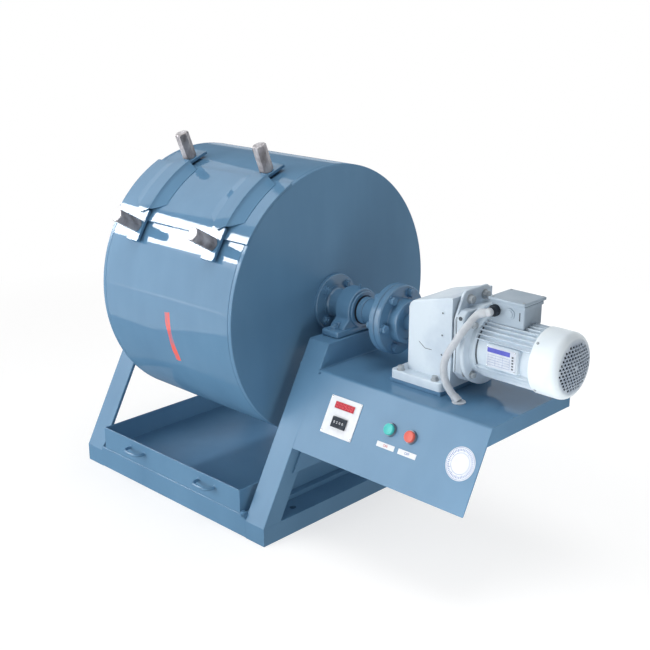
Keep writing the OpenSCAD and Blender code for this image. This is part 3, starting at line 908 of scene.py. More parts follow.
def display_window():
    """The red display with its digits, in a thin pale surround."""
    x, drop = panel_place("counter_display")
    bm = bmesh.new()
    add_sheet(bm, on_panel(x, drop, COUNTER_T), 63, 17, 2.4, 1.2)
    new_piece("display_window", bm, "red_window", replaces=("counter_display",))
    bm = bmesh.new()
    add_digits(bm, on_panel(x, drop, COUNTER_T + 2.4 * MM), "000500", 9.4 * MM, 10 * MM)
    new_piece("display_digits", bm, "red_window", finish=DIGIT_RED)
    bm = bmesh.new()
    add_surround(bm, on_panel(x, drop, COUNTER_T), (66, 20), (63.2, 17.2), 1.6)
    new_piece("display_surround", bm, "white_plate")


def add_surround(bm, place, outer, inner, thickness):
    """A flat rectangular surround between two (width, height) sizes, in mm."""
    outer_x, outer_y = (size / 2 for size in outer)
    inner_x, inner_y = (size / 2 for size in inner)
    for side in (-1, 1):
        for near, far in ((spot(side * inner_x, -outer_y, 0), spot(side * outer_x, outer_y, thickness)),
                          (spot(-inner_x, side * inner_y, 0), spot(inner_x, side * outer_y, thickness))):
            add_block(bm, near, far, 0.3 * MM, 1, place)


def preset_wheels():
    """Four thumbwheels with plain numbers in a black housing."""
    x, drop = panel_place("counter_preset")
    face = COUNTER_T + 4.6 * MM
    bm = bmesh.new()
    add_sheet(bm, on_panel(x, drop, COUNTER_T), 44, 27, 4.6, 1.5, 0.6)
    add_surround(bm, on_panel(x, drop, face), (44, 27), (38, 15), 1.4)
    new_piece("preset_housing", bm, "black_plastic", replaces=("counter_preset",))
    numbers = bmesh.new()
    wheels = bmesh.new()
    for i, digit in enumerate("0500"):
        here = on_panel(x + (i - 1.5) * 9 * MM, drop, face)
        add_block(wheels, spot(-3.9, -6.5, 0), spot(3.9, 6.5, 0.7), 0.3 * MM, 1, here)
        for key in (-10.6, 10.6):
            add_block(wheels, spot(-2.4, key - 1.6, 1.2), spot(2.4, key + 1.6, 2.2), 0.4 * MM, 1, here)
        stamp(numbers, lettering(digit, 9 * MM, 0.15 * MM), here @ raised(0.8 * MM))
    new_piece("preset_wheels", wheels, "black_plastic")
    new_piece("preset_numbers", numbers, "white_plate")


def label(x, drop, name, words, finish):
    """Printed words on a label strip."""
    bm = bmesh.new()
    stamp(bm, lettering(words, 8.5 * MM, 0.12 * MM), on_panel(x, drop, 1.1 * MM))
    new_piece(name, bm, "white_plate", finish=finish)


def panel_labels():
    """Two white strips below the buttons, with ON and OFF."""
    label_x, label_drop = panel_place("label_plates")
    start_x = low("label_plates").x + 27 * MM
    stop_x = 2 * label_x - start_x
    bm = bmesh.new()
    for x in (start_x, stop_x):
        add_sheet(bm, on_panel(x, label_drop), 54, 13, 1, 0.8, 0.25)
    new_piece("label_strips", bm, "white_plate", replaces=("label_plates",))
    label(start_x, label_drop, "label_on", "ON", RED_INK)
    label(stop_x, label_drop, "label_off", "OFF", BLUE_INK)


def round_badge():
    """The round badge, left plain inside a printed rim of short marks."""
    x, drop = panel_place("badge_disc")
    radius = (high("badge_disc").x - low("badge_disc").x) / 2
    ink = 0.15 * MM
    bm = bmesh.new()
    add_disc(bm, on_panel(x, drop), radius, 1 * MM, 0.3 * MM, 96)
    new_piece("badge_face", bm, "white_plate", replaces=("badge_disc",))
    bm = bmesh.new()
    place = on_panel(x, drop, 0.95 * MM)
    for inner, outer in mm((2.6, 1.6), (14.8, 14.0)):
        add_ring(bm, place, radius - inner, radius - outer, ink, 0.04 * MM, 96)
    for i in range(48):
        inner = radius - (12 if i % 4 == 0 else 10) * MM
        add_block(bm, (-0.8 * MM, inner, 0), (0.8 * MM, radius - 4.5 * MM, ink),
                  place=place @ turned(7.5 * i))
    new_piece("badge_marks", bm, "white_plate", finish=BLUE_INK)


def push_button(name, node, body, slot):
    """A domed push button with a finger dish; returns its bezel as a mesh."""
    x, drop = panel_place(node)
    cap = bmesh.new()
    add_turned(cap, mm((4.5, 0), (4.5, 14), (10.2, 14), (11.2, 13.6), (11.8, 12.8), (12, 11.6), (11.7, 10),
                       (11.2, 6.2), (11, 3), (10.9, 0)), on_panel(x, drop), 56)
    new_piece(name, cap, slot, body, replaces=(node,))
    bezel = bmesh.new()
    add_turned(bezel, mm((0, 14.4), (0, 17), (1.2, 17), (2, 16.8), (2.6, 16.3), (4.2, 15.9), (5, 15.4),
                         (5, 14.8), (4.6, 14.4)), on_panel(x, drop), 56, closed=True)
    return to_mesh(bezel)


def push_buttons():
    """The green and red buttons, each on its own body, in fixed bezels."""
    bm = bmesh.new()
    for name, slot in (("start", "green_button"), ("stop", "red_button")):
        stamp(bm, push_button(f"{name}_cap", f"{name}_button", f"{name}_push", slot))
    new_piece("bezel_rings", bm, "bright_steel", finish=BEZEL_STEEL, replaces=("button_bezels",))


# ---- Bearings ----

def bearing_housing(name, node):
    """A cast pillow block with a slotted foot, its insert, bolts and grease nipple."""
    box_low, box_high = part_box(node)
    x = (box_low.x + box_high.x) / 2
    half = (box_high.x - box_low.x) / 2
    foot_top = SEAT_Z + 18 * MM
    bolt_ys = (-82 * MM, 82 * MM)
    foot = bmesh.new()
    add_block(foot, (x - half, -box_high.y, SEAT_Z), (x + half, box_high.y, foot_top), 5 * MM, 3)
    slots = bmesh.new()
    for y in bolt_ys:
        add_block(slots, (x - 9 * MM, y - 9 * MM, SEAT_Z - 10 * MM),
                  (x + 9 * MM, y + 9 * MM, foot_top + 10 * MM), 8.9 * MM, 6)
    bm = bmesh.new()
    stamp(bm, combined(to_mesh(foot), to_mesh(slots), "DIFFERENCE"))
    add_plate(bm, housing_outline(), 2 * half - 8 * MM, along_shaft(x - half + 4 * MM, 0, 0), 4 * MM, 3)
    for place in (along_shaft(x + half - 5 * MM), against_shaft(x - half + 5 * MM)):
        add_ring(bm, place, 37.5 * MM, HOUSING_R - 7 * MM, 5 * MM, 1.6 * MM, 72)
    for y in (-60 * MM, 60 * MM):
        add_block(bm, (x - 6 * MM, y - 14 * MM, foot_top - 2 * MM),
                  (x + 6 * MM, y + 14 * MM, foot_top + 16 * MM), 3.5 * MM, 3)
    new_piece(name, bm, finish=CAST_ENAMEL, replaces=(node,))
    bearing_insert(name, x, half)
    bolts = bmesh.new()
    for y in bolt_ys:
        stamp(bolts, bolt_head(19, 8, 0.82, 2.2, 3), lifted(x, y, foot_top, 12))
    new_piece(f"{name}_bolts", bolts, finish=CAST_ENAMEL)
    nipple = bmesh.new()
    add_turned(nipple, mm((0, 0), (0, 4.5), (5, 4.5), (6, 3), (10, 2.2), (11.5, 3.2), (14, 2.4), (15, 0)),
               lifted(x + 14 * MM, 0, SHAFT_Z + HOUSING_R - 3 * MM), 20)
    new_piece(f"{name}_nipple", nipple)


def housing_outline():
    """The side view of a bearing housing: a round top on spreading shoulders."""
    points = [(-78 * MM, SEAT_Z + 14 * MM), (78 * MM, SEAT_Z + 14 * MM), (72 * MM, SEAT_Z + 24 * MM)]
    for step in range(25):
        a = radians(-18 + step * 9)
        points.append((HOUSING_R * cos(a), SHAFT_Z + HOUSING_R * sin(a)))
    return points + [(-72 * MM, SEAT_Z + 24 * MM)]


def bearing_insert(name, x, half):
    """The dark seal and the painted inner ring on both faces."""
    seal = bmesh.new()
    ring = bmesh.new()
    for place in (along_shaft(x + half - 3 * MM), against_shaft(x - half + 3 * MM)):
        add_ring(seal, place, 30 * MM, 38 * MM, 1.5 * MM, 0.4 * MM, 64)
        add_ring(ring, place, 25.1 * MM, 29.6 * MM, 3.0 * MM, 0.8 * MM, 64)
    new_piece(f"{name}_seals", seal, "black_plastic")
    new_piece(f"{name}_inner_rings", ring, "bright_steel", "drum")


# ---- Gearbox and motor ----

def gearbox():
    """The cast gearbox on its foot, with its output cover, bolts and small marks."""
    box_low, box_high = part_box("gearbox_case")
    end = box_high.x
    start = end - 132 * MM
    top = box_high.z
    start_top = top - 28 * MM
    foot_top = box_low.z + 22 * MM
    bm = bmesh.new()
    foot = round_outline(79 * MM, box_high.y, 12 * MM, 6, box_low.x + 79 * MM)
    add_plate(bm, foot, foot_top - box_low.z, lifted(0, 0, box_low.z), 3 * MM, 3,
              keep=lambda e: level(e, foot_top))
    outline = [(start, box_low.z + 4 * MM), (end, box_low.z + 4 * MM), (end, top),
               (end - 22 * MM, top - 2 * MM), (start + 24 * MM, start_top + 3 * MM),
               (start + 12 * MM, start_top - 1 * MM),
               (start + 4 * MM, start_top - 7 * MM), (start, start_top - 18 * MM)]
    add_plate(bm, outline, 2 * GEARBOX_HALF, facing_front(0, GEARBOX_HALF, 0), 9 * MM, 4,
              keep=lambda e: max(v.co.x for v in e.verts) < end - 1 * MM
              and max(v.co.z for v in e.verts) > box_low.z + 10 * MM)
    add_disc(bm, against_shaft(start + 2 * MM), 55 * MM, 8 * MM, 2.5 * MM, 72)
    add_disc(bm, against_shaft(start - 4 * MM), 42 * MM, 4 * MM, 1.5 * MM, 72)
    new_piece("gearbox_casting", bm, "drive_paint", replaces=("gearbox_case",))
    gearbox_bolts(box_low.x, foot_top, start)
    gearbox_marks(start, end)
    rounded_copy("gearbox_packing", "packing_strip", 1 * MM, 2)


def gearbox_bolts(foot_x, foot_top, start):
    """Four foot bolts and the six screws of the output cover."""
    bm = bmesh.new()
    for x in (foot_x + 25 * MM, foot_x + 131 * MM):
        for y in (-96.53 * MM, 96.53 * MM):
            stamp(bm, bolt_head(15, 9, 0.7, 1.8), lifted(x, y, foot_top, 17))
    new_piece("gearbox_foot_bolts", bm, "nut_steel", finish=ZINC)
    bm = bmesh.new()
    for place in bolt_circle(6, 49 * MM, 30):
        stamp(bm, cap_screw(9, 5), against_shaft(start - 5.5 * MM, *place))
    new_piece("output_cover_screws", bm, "nut_steel", finish=ZINC)


def gearbox_marks(start, end):
    """Small bosses and a short casting line on both sides, and two bolts behind."""
    bosses = bmesh.new()
    dark = bmesh.new()
    x = end - 27 * MM
    for side, face in ((-1, facing_front), (1, facing_back)):
        y = side * GEARBOX_HALF
        for z in (SHAFT_Z + 77 * MM, SHAFT_Z + 22 * MM, SHAFT_Z - 27 * MM):
            add_disc(bosses, face(x, y - side * 1 * MM, z), 4.5 * MM, 2 * MM, 0.8 * MM, 24)
            add_disc(dark, face(x, y + side * 0.9 * MM, z), 2.4 * MM, 0.3 * MM, 0.1 * MM, 20)
        line = [(start + along, y, SHAFT_Z + up) for along, up in mm((34.5, -9), (53.6, -22.3), (74, -21.9))]
        for ends in zip(line, line[1:]):
            stamp(dark, swept_bar(ends, 0.7 * MM, 0))
    for along, up in mm((30, 52), (96, -62)):
        stamp(bosses, bolt_head(14, 5, 0.75, 1.5), facing_back(start + along, GEARBOX_HALF, SHAFT_Z + up))
    new_piece("gearbox_bosses", bosses, "drive_paint")
    new_piece("gearbox_dark_marks", dark, "drive_paint", finish=DARK_MARKS_AND_SHADE)


def adapter():
    """The adapter between gearbox and motor: groove darkened by a ring of painted shade, body, bolting lug
    and neck.
    """
    box_low, box_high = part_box("adapter_case")
    groove = 5 * MM
    x = box_low.x + groove
    side = GEARBOX_HALF
    bottom = box_low.z
    top = box_high.z
    shoulder = SHAFT_Z + 90 * MM
    lug_t = 8 * MM
    neck_x = x + 26 * MM
    bm = bmesh.new()
    add_disc(bm, along_shaft(box_low.x - 1 * MM), 75 * MM, groove + 3 * MM, 0.5 * MM, 72)
    add_disc(bm, along_shaft(neck_x), 75 * MM, box_high.x - neck_x, 0.5 * MM, 72)
    body = [(-side, bottom + 24 * MM), (-side + 24 * MM, bottom), (side - 24 * MM, bottom),
            (side, bottom + 24 * MM), (side, shoulder - 16 * MM), (side - 16 * MM, shoulder),
            (-side + 16 * MM, shoulder), (-side, shoulder - 16 * MM)]
    add_plate(bm, body, 28 * MM, along_shaft(x, 0, 0), 4 * MM, 3)
    lug = [(-side, SHAFT_Z), (side, SHAFT_Z), (side, shoulder - 20 * MM), (52 * MM, top - 8 * MM),
           (42 * MM, top), (-42 * MM, top), (-52 * MM, top - 8 * MM), (-side, shoulder - 20 * MM)]
    add_plate(bm, lug, lug_t, along_shaft(x, 0, 0), 2.5 * MM, 3)
    new_piece("adapter_casting", bm, "drive_paint", replaces=("adapter_case",))
    bm = bmesh.new()
    for y in (-29 * MM, 29 * MM):
        stamp(bm, bolt_head(17, 10, 0.72, 2), along_shaft(x + lug_t, y, SHAFT_Z + 110 * MM))
    for y in (-66 * MM, 66 * MM):
        for z in (52 * MM, -60 * MM):
            stamp(bm, bolt_head(15, 9, 0.7, 2), along_shaft(x + 28 * MM, y, SHAFT_Z + z))
    new_piece("adapter_bolts", bm, "nut_steel", finish=ZINC)
    bm = bmesh.new()
    add_disc(bm, facing_front(x + 19 * MM, -side + 1 * MM, SHAFT_Z + 74 * MM), 5 * MM, 2 * MM, 0.6 * MM, 24)
    seam_x = x + lug_t + 0.5 * MM
    seam = [(seam_x, -side, shoulder - 14 * MM), (seam_x, -side, SHAFT_Z - 60 * MM)]
    stamp(bm, swept_bar(seam, 0.8 * MM, 0))
    # A dark ring at the bottom of the groove: painted shade.
    add_turned(bm, mm((0, 75.2), (0, 75.9), (5, 75.9), (5, 75.2)), along_shaft(box_low.x), 72, closed=True)
    new_piece("adapter_dark_marks", bm, "drive_paint", finish=DARK_MARKS_AND_SHADE)


def motor_flange():
    """The round motor flange with four bolts through it."""
    box_low, box_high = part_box("motor_flange")
    radius = (box_high.y - box_low.y) / 2
    thick = box_high.x - box_low.x
    edge = 2 * MM
    bm = bmesh.new()
    add_turned(bm, [(0, 0), (0, radius - edge), (edge, radius), (thick - edge, radius),
                    (thick, radius - edge), (thick, 0)], along_shaft(box_low.x), 96)
    new_piece("motor_flange_disc", bm, "drive_paint", replaces=("motor_flange",))
    bm = bmesh.new()
    for place in bolt_circle(4, 87 * MM, 45):
        stamp(bm, bolt_head(13, 8, 0.72, 2), along_shaft(box_high.x, *place))
        stamp(bm, bolt_head(13, 8, 0.72, 2), against_shaft(box_low.x, *place))
    new_piece("motor_flange_bolts", bm, "nut_steel", finish=ZINC)


FINS = 40
PAD_ANGLE = 24


def motor_frame():
    """The finned motor body with its end ring, the pad for the rating plate, and a ring of painted shade in
    the recess.
    """
    box_low, box_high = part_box("motor_body")
    length = box_high.x - box_low.x
    tip = (box_high.y - box_low.y) / 2 - 0.4 * MM
    core = tip - 8.6 * MM
    end_ring = 13 * MM
    bm = bmesh.new()
    add_turned(bm, [(0, 0), (0, tip), (end_ring - 2 * MM, tip), (end_ring, tip - 2 * MM),
                    (end_ring + 2 * MM, core), (length, core), (length, 0)], along_shaft(box_low.x), 96)
    fin = bmesh.new()
    outline = [(core - 3 * MM, -2.1 * MM), (tip - 0.6 * MM, -1.0 * MM), (tip, -0.4 * MM), (tip, 0.4 * MM),
               (tip - 0.6 * MM, 1.0 * MM), (core - 3 * MM, 2.1 * MM)]
    add_plate(fin, outline, length - end_ring - 1 * MM, raised(end_ring))
    fin_mesh = to_mesh(fin)
    for i in range(FINS):
        turn = 360 * i / FINS
        if abs(turn - 180) >= PAD_ANGLE:
            stamp(bm, fin_mesh, along_shaft(box_low.x) @ turned(turn))
    pad_x = box_low.x + 46 * MM
    add_block(bm, (pad_x, -tip + 0.5 * MM, SHAFT_Z - 27 * MM),
              (pad_x + 90 * MM, -56 * MM, SHAFT_Z + 31 * MM), 5 * MM, 4)
    new_piece("finned_frame", bm, "drive_paint", replaces=("motor_body",))
    # A dark ring in the recess behind the end ring: painted shade.
    bm = bmesh.new()
    recess = along_shaft(box_low.x + end_ring - 1 * MM)
    add_ring(bm, recess, 60 * MM, core + 2.5 * MM, 5 * MM, 1 * MM, 72)
    new_piece("frame_end_recess_shade", bm, "drive_paint", finish=DARK_MARKS_AND_SHADE)
    motor_plate(facing_front(pad_x + 45 * MM, -tip + 0.6 * MM, SHAFT_Z + 3 * MM))


def motor_plate(place):
    """The rating plate, with a coloured band and ruled lines but no words."""
    face = 0.85
    bm = bmesh.new()
    add_sheet(bm, place, 80, 50, 0.9, 2, 0.25)
    new_piece("rating_plate", bm, "bright_steel", finish=PLATE_SILVER)
    bm = bmesh.new()
    add_block(bm, spot(-38, 10, face), spot(24, 21, 1.05), place=place)
    new_piece("rating_plate_band", bm, "bright_steel", finish=VIOLET_INK)
    bm = bmesh.new()
    for up in (4, -2, -8, -14, -20):
        add_block(bm, spot(-36, up, face), spot(24, up + 0.5, 0.98), place=place)
    for across in (-36, -16, 4, 23.6):
        add_block(bm, spot(across, -20, face), spot(across + 0.5, 4.5, 0.98), place=place)
    new_piece("rating_plate_lines", bm, "bright_steel", finish=BLUE_INK)
    bm = bmesh.new()
    for up in (9, 2, -5, -12, -19):
        add_block(bm, spot(29, up, face), spot(34, up + 4, 1), place=place)
    new_piece("rating_plate_marks", bm, "bright_steel", finish=DARK_MARKS_AND_SHADE)
    bm = bmesh.new()
    for across, up in CORNERS:
        rivet = Matrix.Translation(spot(across * 37.5, up * 22.5, 0.8))
        add_disc(bm, place @ rivet, 1.8 * MM, 1.1 * MM, 0.5 * MM, 16)
    new_piece("rating_plate_rivets", bm, "bright_steel")


def fan_cowl():
    """The pressed cowl with its slotted end, side screws, and the fan behind it."""
    box_low, box_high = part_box("fan_cowl")
    radius = (box_high.y - box_low.y) / 2
    wall = 2.4 * MM
    corner = 20 * MM
    outer = cowl_profile(radius, box_high.x - box_low.x, corner, 6 * MM)
    inner = [(h - wall if h > corner else h, max(r - wall, 0)) for h, r in reversed(outer)]
    shell = bmesh.new()
    add_turned(shell, outer + inner, along_shaft(box_low.x), 128, closed=True)
    cut = combined(to_mesh(shell), cowl_slots(box_high.x - 22 * MM), "DIFFERENCE")
    new_piece("slotted_cowl", cut, "cowl_paint", replaces=("fan_cowl",))
    screws = bmesh.new()
    for angle in (45, 135, 225, 315):
        out = Vector((0, cos(radians(angle)), sin(radians(angle))))
        place = Vector((box_low.x + 8 * MM, 0, SHAFT_Z)) + out * (radius - 0.5 * MM)
        stamp(screws, cap_screw(7, 2.6), turn_axes((1, 0, 0), out.cross(Vector((1, 0, 0))), out, place))
    new_piece("cowl_screws", screws, "nut_steel", finish=ZINC)
    fan_with_shade_disc(box_low.x, radius)


def cowl_slots(x):
    """The cutters of the cowl's slots, in staggered rows round a plain middle."""
    wide = 4.2 * MM
    tall = 2.9 * MM
    slot = [(-wide, -tall), (wide, -tall), (wide, tall), (-wide, tall)]
    bm = bmesh.new()
    for row in range(-7, 8):
        for column in range(-6, 7):
            y = (column + (0.5 if row % 2 else 0)) * 10.6 * MM
            z = row * 8.4 * MM
            if 9 * MM <= math.hypot(y, z) <= 59 * MM:
                add_plate(bm, slot, 30 * MM, along_shaft(x, y, SHAFT_Z + z))
    return to_mesh(bm)


def cowl_profile(radius, length, corner, dome):
    """Height and radius of the cowl's outside from its open rim to the middle."""
    profile = [(0, radius), (length - dome - corner, radius)]
    for step in range(1, 9):
        a = pi / 2 * step / 8
        profile.append((length - dome - corner + corner * sin(a), radius - corner + corner * cos(a)))
    flat = radius - corner
    for step in range(1, 11):
        r = flat * (1 - step / 10)
        profile.append((length - dome + dome * (1 - (r / flat) ** 2), r))
    return profile


def fan_with_shade_disc(x, radius):
    """The black fan that shows through the slots, with a full dark disc behind its blades as painted shade.
    """
    bm = bmesh.new()
    # The full dark disc is painted shade for the cowl's inside; the hub and blades are the fan.
    add_disc(bm, along_shaft(x + 6 * MM), radius - 8 * MM, 4 * MM, 1 * MM, 64)
    add_disc(bm, along_shaft(x + 6 * MM), 17 * MM, 46 * MM, 3 * MM, 40)
    for angle in range(0, 360, 40):
        add_block(bm, (16 * MM, -1.5 * MM, 0), (radius - 12 * MM, 1.5 * MM, 40 * MM), 0.6 * MM, 1,
                  along_shaft(x + 8 * MM) @ turned(angle))
    new_piece("fan_with_shade_disc", bm, "black_plastic")


def add_box_round(bm, box_low, box_high, grow, bottom, top, radius=0.0, segments=2):
    """A block as wide as a box, grown all round, between two heights."""
    add_block(bm, (box_low.x - grow, box_low.y - grow, bottom), (box_high.x + grow, box_high.y + grow, top),
              radius, segments)


def terminal_box():
    """The terminal box with a gasket, an overhanging lid, screws, a plug and a slot drawn as painted shade.
    """
    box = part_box("terminal_box")
    lid_low, lid_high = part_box("terminal_lid")
    bm = bmesh.new()
    add_box_round(bm, *box, 0, box[0].z, lid_low.z - 1.2 * MM, 4 * MM, 3)
    add_box_round(bm, *box, 2 * MM, lid_low.z - 9 * MM, lid_low.z - 1.4 * MM, 1.5 * MM)
    new_piece("terminal_housing", bm, "drive_paint", finish=BOX_PAINT, replaces=("terminal_box",))
    bm = bmesh.new()
    add_box_round(bm, *box, 1 * MM, lid_low.z - 1.8 * MM, lid_low.z + 0.4 * MM)
    new_piece("terminal_gasket", bm, "black_plastic")
    bm = bmesh.new()
    add_block(bm, lid_low, lid_high, 3 * MM, 3)
    new_piece("terminal_cover", bm, "drive_paint", finish=BOX_PAINT, replaces=("terminal_lid",))
    bm = bmesh.new()
    for x in (lid_low.x + 8 * MM, lid_high.x - 8 * MM):
        for y in (lid_low.y + 8 * MM, lid_high.y - 8 * MM):
            stamp(bm, cap_screw(8, 3), lifted(x, y, lid_high.z - 1.6 * MM, 20))
    new_piece("terminal_cover_screws", bm, "nut_steel", finish=ZINC)
    front = box[0].y
    bm = bmesh.new()
    plug = facing_front(box[0].x + 52 * MM, front + 1 * MM, SHAFT_Z + 100 * MM)
    for radius, height in mm((13, 3.5), (9, 5.5)):
        add_disc(bm, plug, radius, height, 1.2 * MM, 40)
    new_piece("terminal_plug", bm, "drive_paint", finish=BOX_PAINT)
    # The slot is a dark block, nearly flush with the front: painted shade.
    bm = bmesh.new()
    slot_x = box[1].x - 14 * MM
    add_block(bm, (slot_x, front - 0.3 * MM, SHAFT_Z + 88 * MM),
              (slot_x + 3 * MM, front + 1 * MM, SHAFT_Z + 108 * MM))
    new_piece("terminal_slot_shade", bm, "drive_paint", finish=DARK_MARKS_AND_SHADE)


def facing_along(direction, place):
    """Z points along a direction."""
    matrix = direction.to_track_quat("Z", "Y").to_matrix().to_4x4()
    matrix.translation = place
    return matrix


def conduit_fittings():
    """The hexagon gland and elbow on the terminal box, and the small fitting on the platform."""
    box_low = low("terminal_box")
    gland = facing_front(box_low.x + 12 * MM, box_low.y, low("terminal_lid").z - 24 * MM)
    bm = bmesh.new()
    add_disc(bm, gland, 14 * MM, 2.5 * MM, 0.8 * MM, 40)
    stamp(bm, hex_head(24.2 * MM, 13 * MM), gland @ raised(2 * MM))
    add_turned(bm, mm((14, 0), (14, 11), (20, 11), (21, 10), (21, 0)), gland, 40)
    new_piece("conduit_gland", bm, "black_plastic", replaces=("conduit_glands",))
    start, end = CONDUIT_POINTS[0], CONDUIT_POINTS[-1]
    elbow = facing_along(CONDUIT_EXIT, start - CONDUIT_EXIT * 19 * MM)
    bm = bmesh.new()
    add_turned(bm, mm((20, 0), (20, 9.6), (29, 9.8), (32, 7.5), (32, 0)), gland, 40)
    add_turned(bm, mm((0, 0), (2, 8), (8, 10.4), (17, 10.8), (20, 10), (20, 0)), elbow, 40)
    collar = facing_along(CONDUIT_ENTRY, end)
    add_turned(bm, mm((-1, 0), (-1, 9.8), (2, 10.8), (16, 10.8), (16, 0)), collar, 40)
    add_disc(bm, lifted(end.x + 14 * MM, end.y, PLATFORM_Z), 16.5 * MM, 2.8 * MM, 1.2 * MM, 48)
    new_piece("conduit_sleeves", bm, "grey_conduit")


# ---- Drum ----

def rolled_shell():
    """The shell as a spun section, open at the feed opening under the cover."""
    outer = DRUM_R
    inner = DRUM_R - DRUM_WALL
    opening = radians(2 * FEED_HALF_ANGLE)
    end = [(-SHELL_END, inner), (-SHELL_END, outer - RIM_EDGE), (-SHELL_END + RIM_EDGE, outer),
           (-FEED_HALF, outer)]
    other_end = [(-along, radius) for along, radius in reversed(end)]
    bm = bmesh.new()
    add_turned(bm, end + other_end + [(FEED_HALF, inner), (-FEED_HALF, inner)],
               drum_section(COVER_ANGLE - FEED_HALF_ANGLE), 200, 2 * pi - opening, closed=True)
    strip = end + [(-FEED_HALF, inner)]
    for half in (strip, [(-along, radius) for along, radius in strip]):
        add_turned(bm, half, drum_section(COVER_ANGLE + FEED_HALF_ANGLE), 15, opening, closed=True)
    bmesh.ops.remove_doubles(bm, verts=bm.verts, dist=1e-5)
    close_rims(bm)
    new_piece("rolled_shell", bm, body="drum", finish=DRUM_ENAMEL, replaces=("drum_shell",), sharp=25)


def outwards(side, end):
    """Z points out of the drum's left or right end, starting that far from its middle."""
    return along_shaft(end) if side > 0 else against_shaft(-end)


def end_plate(side, name, node):
    """A drum end, flush with the shell, its rim rounded outside."""
    rim = 2.5 * MM
    profile = [(0, 0), (0, DRUM_R - RIM_EDGE), (RIM_EDGE, DRUM_R)]
    for step in range(5):
        a = pi / 2 * step / 4
        profile.append((DRUM_WALL - rim + rim * sin(a), DRUM_R - rim + rim * cos(a)))
    for share in (0.75, 0.5, 0.25, 0):
        profile.append((DRUM_WALL, (DRUM_R - 3 * MM) * share))
    bm = bmesh.new()
    add_turned(bm, profile, outwards(side, DRUM_END - DRUM_WALL), 256)
    new_piece(name, bm, body="drum", replaces=(node,), sharp=30)


def hub(side, name, node):
    """The bolted flange, boss, shaft step and locking collar on one end."""
    place = outwards(side, DRUM_END)
    boss = 316 * MM - DRUM_END
    collar = 378.5 * MM - DRUM_END
    profile = mm((0, 0), (0, 77), (8.5, 77), (10, 75.5), (10, 48), (11.5, 48), (11.5, 40),
                 (14, 37.5), (17, 36))
    profile += [(boss + along, radius) for along, radius in mm((-2, 36), (0, 34), (0, 25))]
    profile += [(collar + along, radius) for along, radius in mm(
        (0, 25), (0, 34.5), (1.5, 36), (16.5, 36), (18, 34.5), (18, 0))]
    bm = bmesh.new()
    add_turned(bm, profile, place, 96)
    new_piece(name, bm, body="drum", finish=CAST_ENAMEL, replaces=(node,), sharp=30)
    bm = bmesh.new()
    for i in range(4):
        a = radians(45 + 90 * i)
        spread = Matrix.Translation((59 * MM * cos(a), 59 * MM * sin(a), 10 * MM))
        stamp(bm, bolt_head(19, 9, 0.68, 2, 2.5), place @ spread @ turned(10 + 25 * i))
    new_piece(f"{name}_bolts", bm, body="drum", finish=CAST_ENAMEL)
    bm = bmesh.new()
    for angle in (20, 140):
        stamp(bm, set_screw(), place @ turned(angle) @ along_shaft(35.3 * MM, 0, collar + 9 * MM))
    new_piece(f"{name}_set_screws", bm, body="drum")


def set_screw():
    """The socket end of a small grub screw."""
    bm = bmesh.new()
    add_turned(bm, [(0, 0), (0, 4), (1.2, 4), (1.2, 2.2), (0.2, 2.2), (0.2, 0)], Matrix.Scale(MM, 4), 20)
    return to_mesh(bm)


def coupling():
    """The two bolted coupling halves on their hubs."""
    joint = high("coupling_drum_half").x
    start = low("coupling_drum_half").x - joint
    gear_end = high("coupling_gear_half").x - joint
    r = COUPLING_R
    thick = COUPLING_T
    hub_r = 33 * MM
    boss = thick + 28 * MM
    bm = bmesh.new()
    add_turned(bm, [(start, 0), (start, hub_r), (-thick - 4 * MM, hub_r), (-thick, hub_r + 4 * MM),
                    (-thick, r - 3 * MM), (-thick + 3 * MM, r), (-2 * MM, r), (-0.5 * MM, r - 1.5 * MM),
                    (-0.5 * MM, 0)], along_shaft(joint), 96)
    new_piece("coupling_flange_drum_side", bm, body="drum", finish=CAST_ENAMEL,
              replaces=("coupling_drum_half",), sharp=30)
    bm = bmesh.new()
    add_turned(bm, [(0.5 * MM, 0), (0.5 * MM, r - 1.5 * MM), (2 * MM, r), (thick - 3 * MM, r),
                    (thick, r - 3 * MM), (thick, 57 * MM), (thick + 1.5 * MM, 56 * MM),
                    (boss - 2 * MM, 56 * MM), (boss, 54 * MM), (boss, 46 * MM), (boss - 6 * MM, 44 * MM),
                    (boss - 6 * MM, 22 * MM), (gear_end, 22 * MM), (gear_end, 0)], along_shaft(joint), 96)
    new_piece("coupling_flange_gear_side", bm, body="drum", finish=CAST_ENAMEL,
              replaces=("coupling_gear_half",), sharp=30)
    bm = bmesh.new()
    add_turned(bm, mm((-0.8, 0), (-0.8, 87.4), (0.8, 87.4), (0.8, 0)), along_shaft(joint), 96)
    new_piece("coupling_joint_ring", bm, "black_plastic", "drum")
    bm = bmesh.new()
    head = bolt_head(19, 9, 0.7, 2.5)
    nut = bolt_head(19, 10, 0.7, 2.5, 5)
    for i, place in enumerate(bolt_circle(6, 72 * MM, 5)):
        stamp(bm, head, along_shaft(joint + thick, *place) @ turned(13 * i))
        stamp(bm, nut, against_shaft(joint - thick, *place) @ turned(17 * i))
    new_piece("coupling_bolts", bm, body="drum", finish=CAST_ENAMEL)


# ---- Feed cover ----

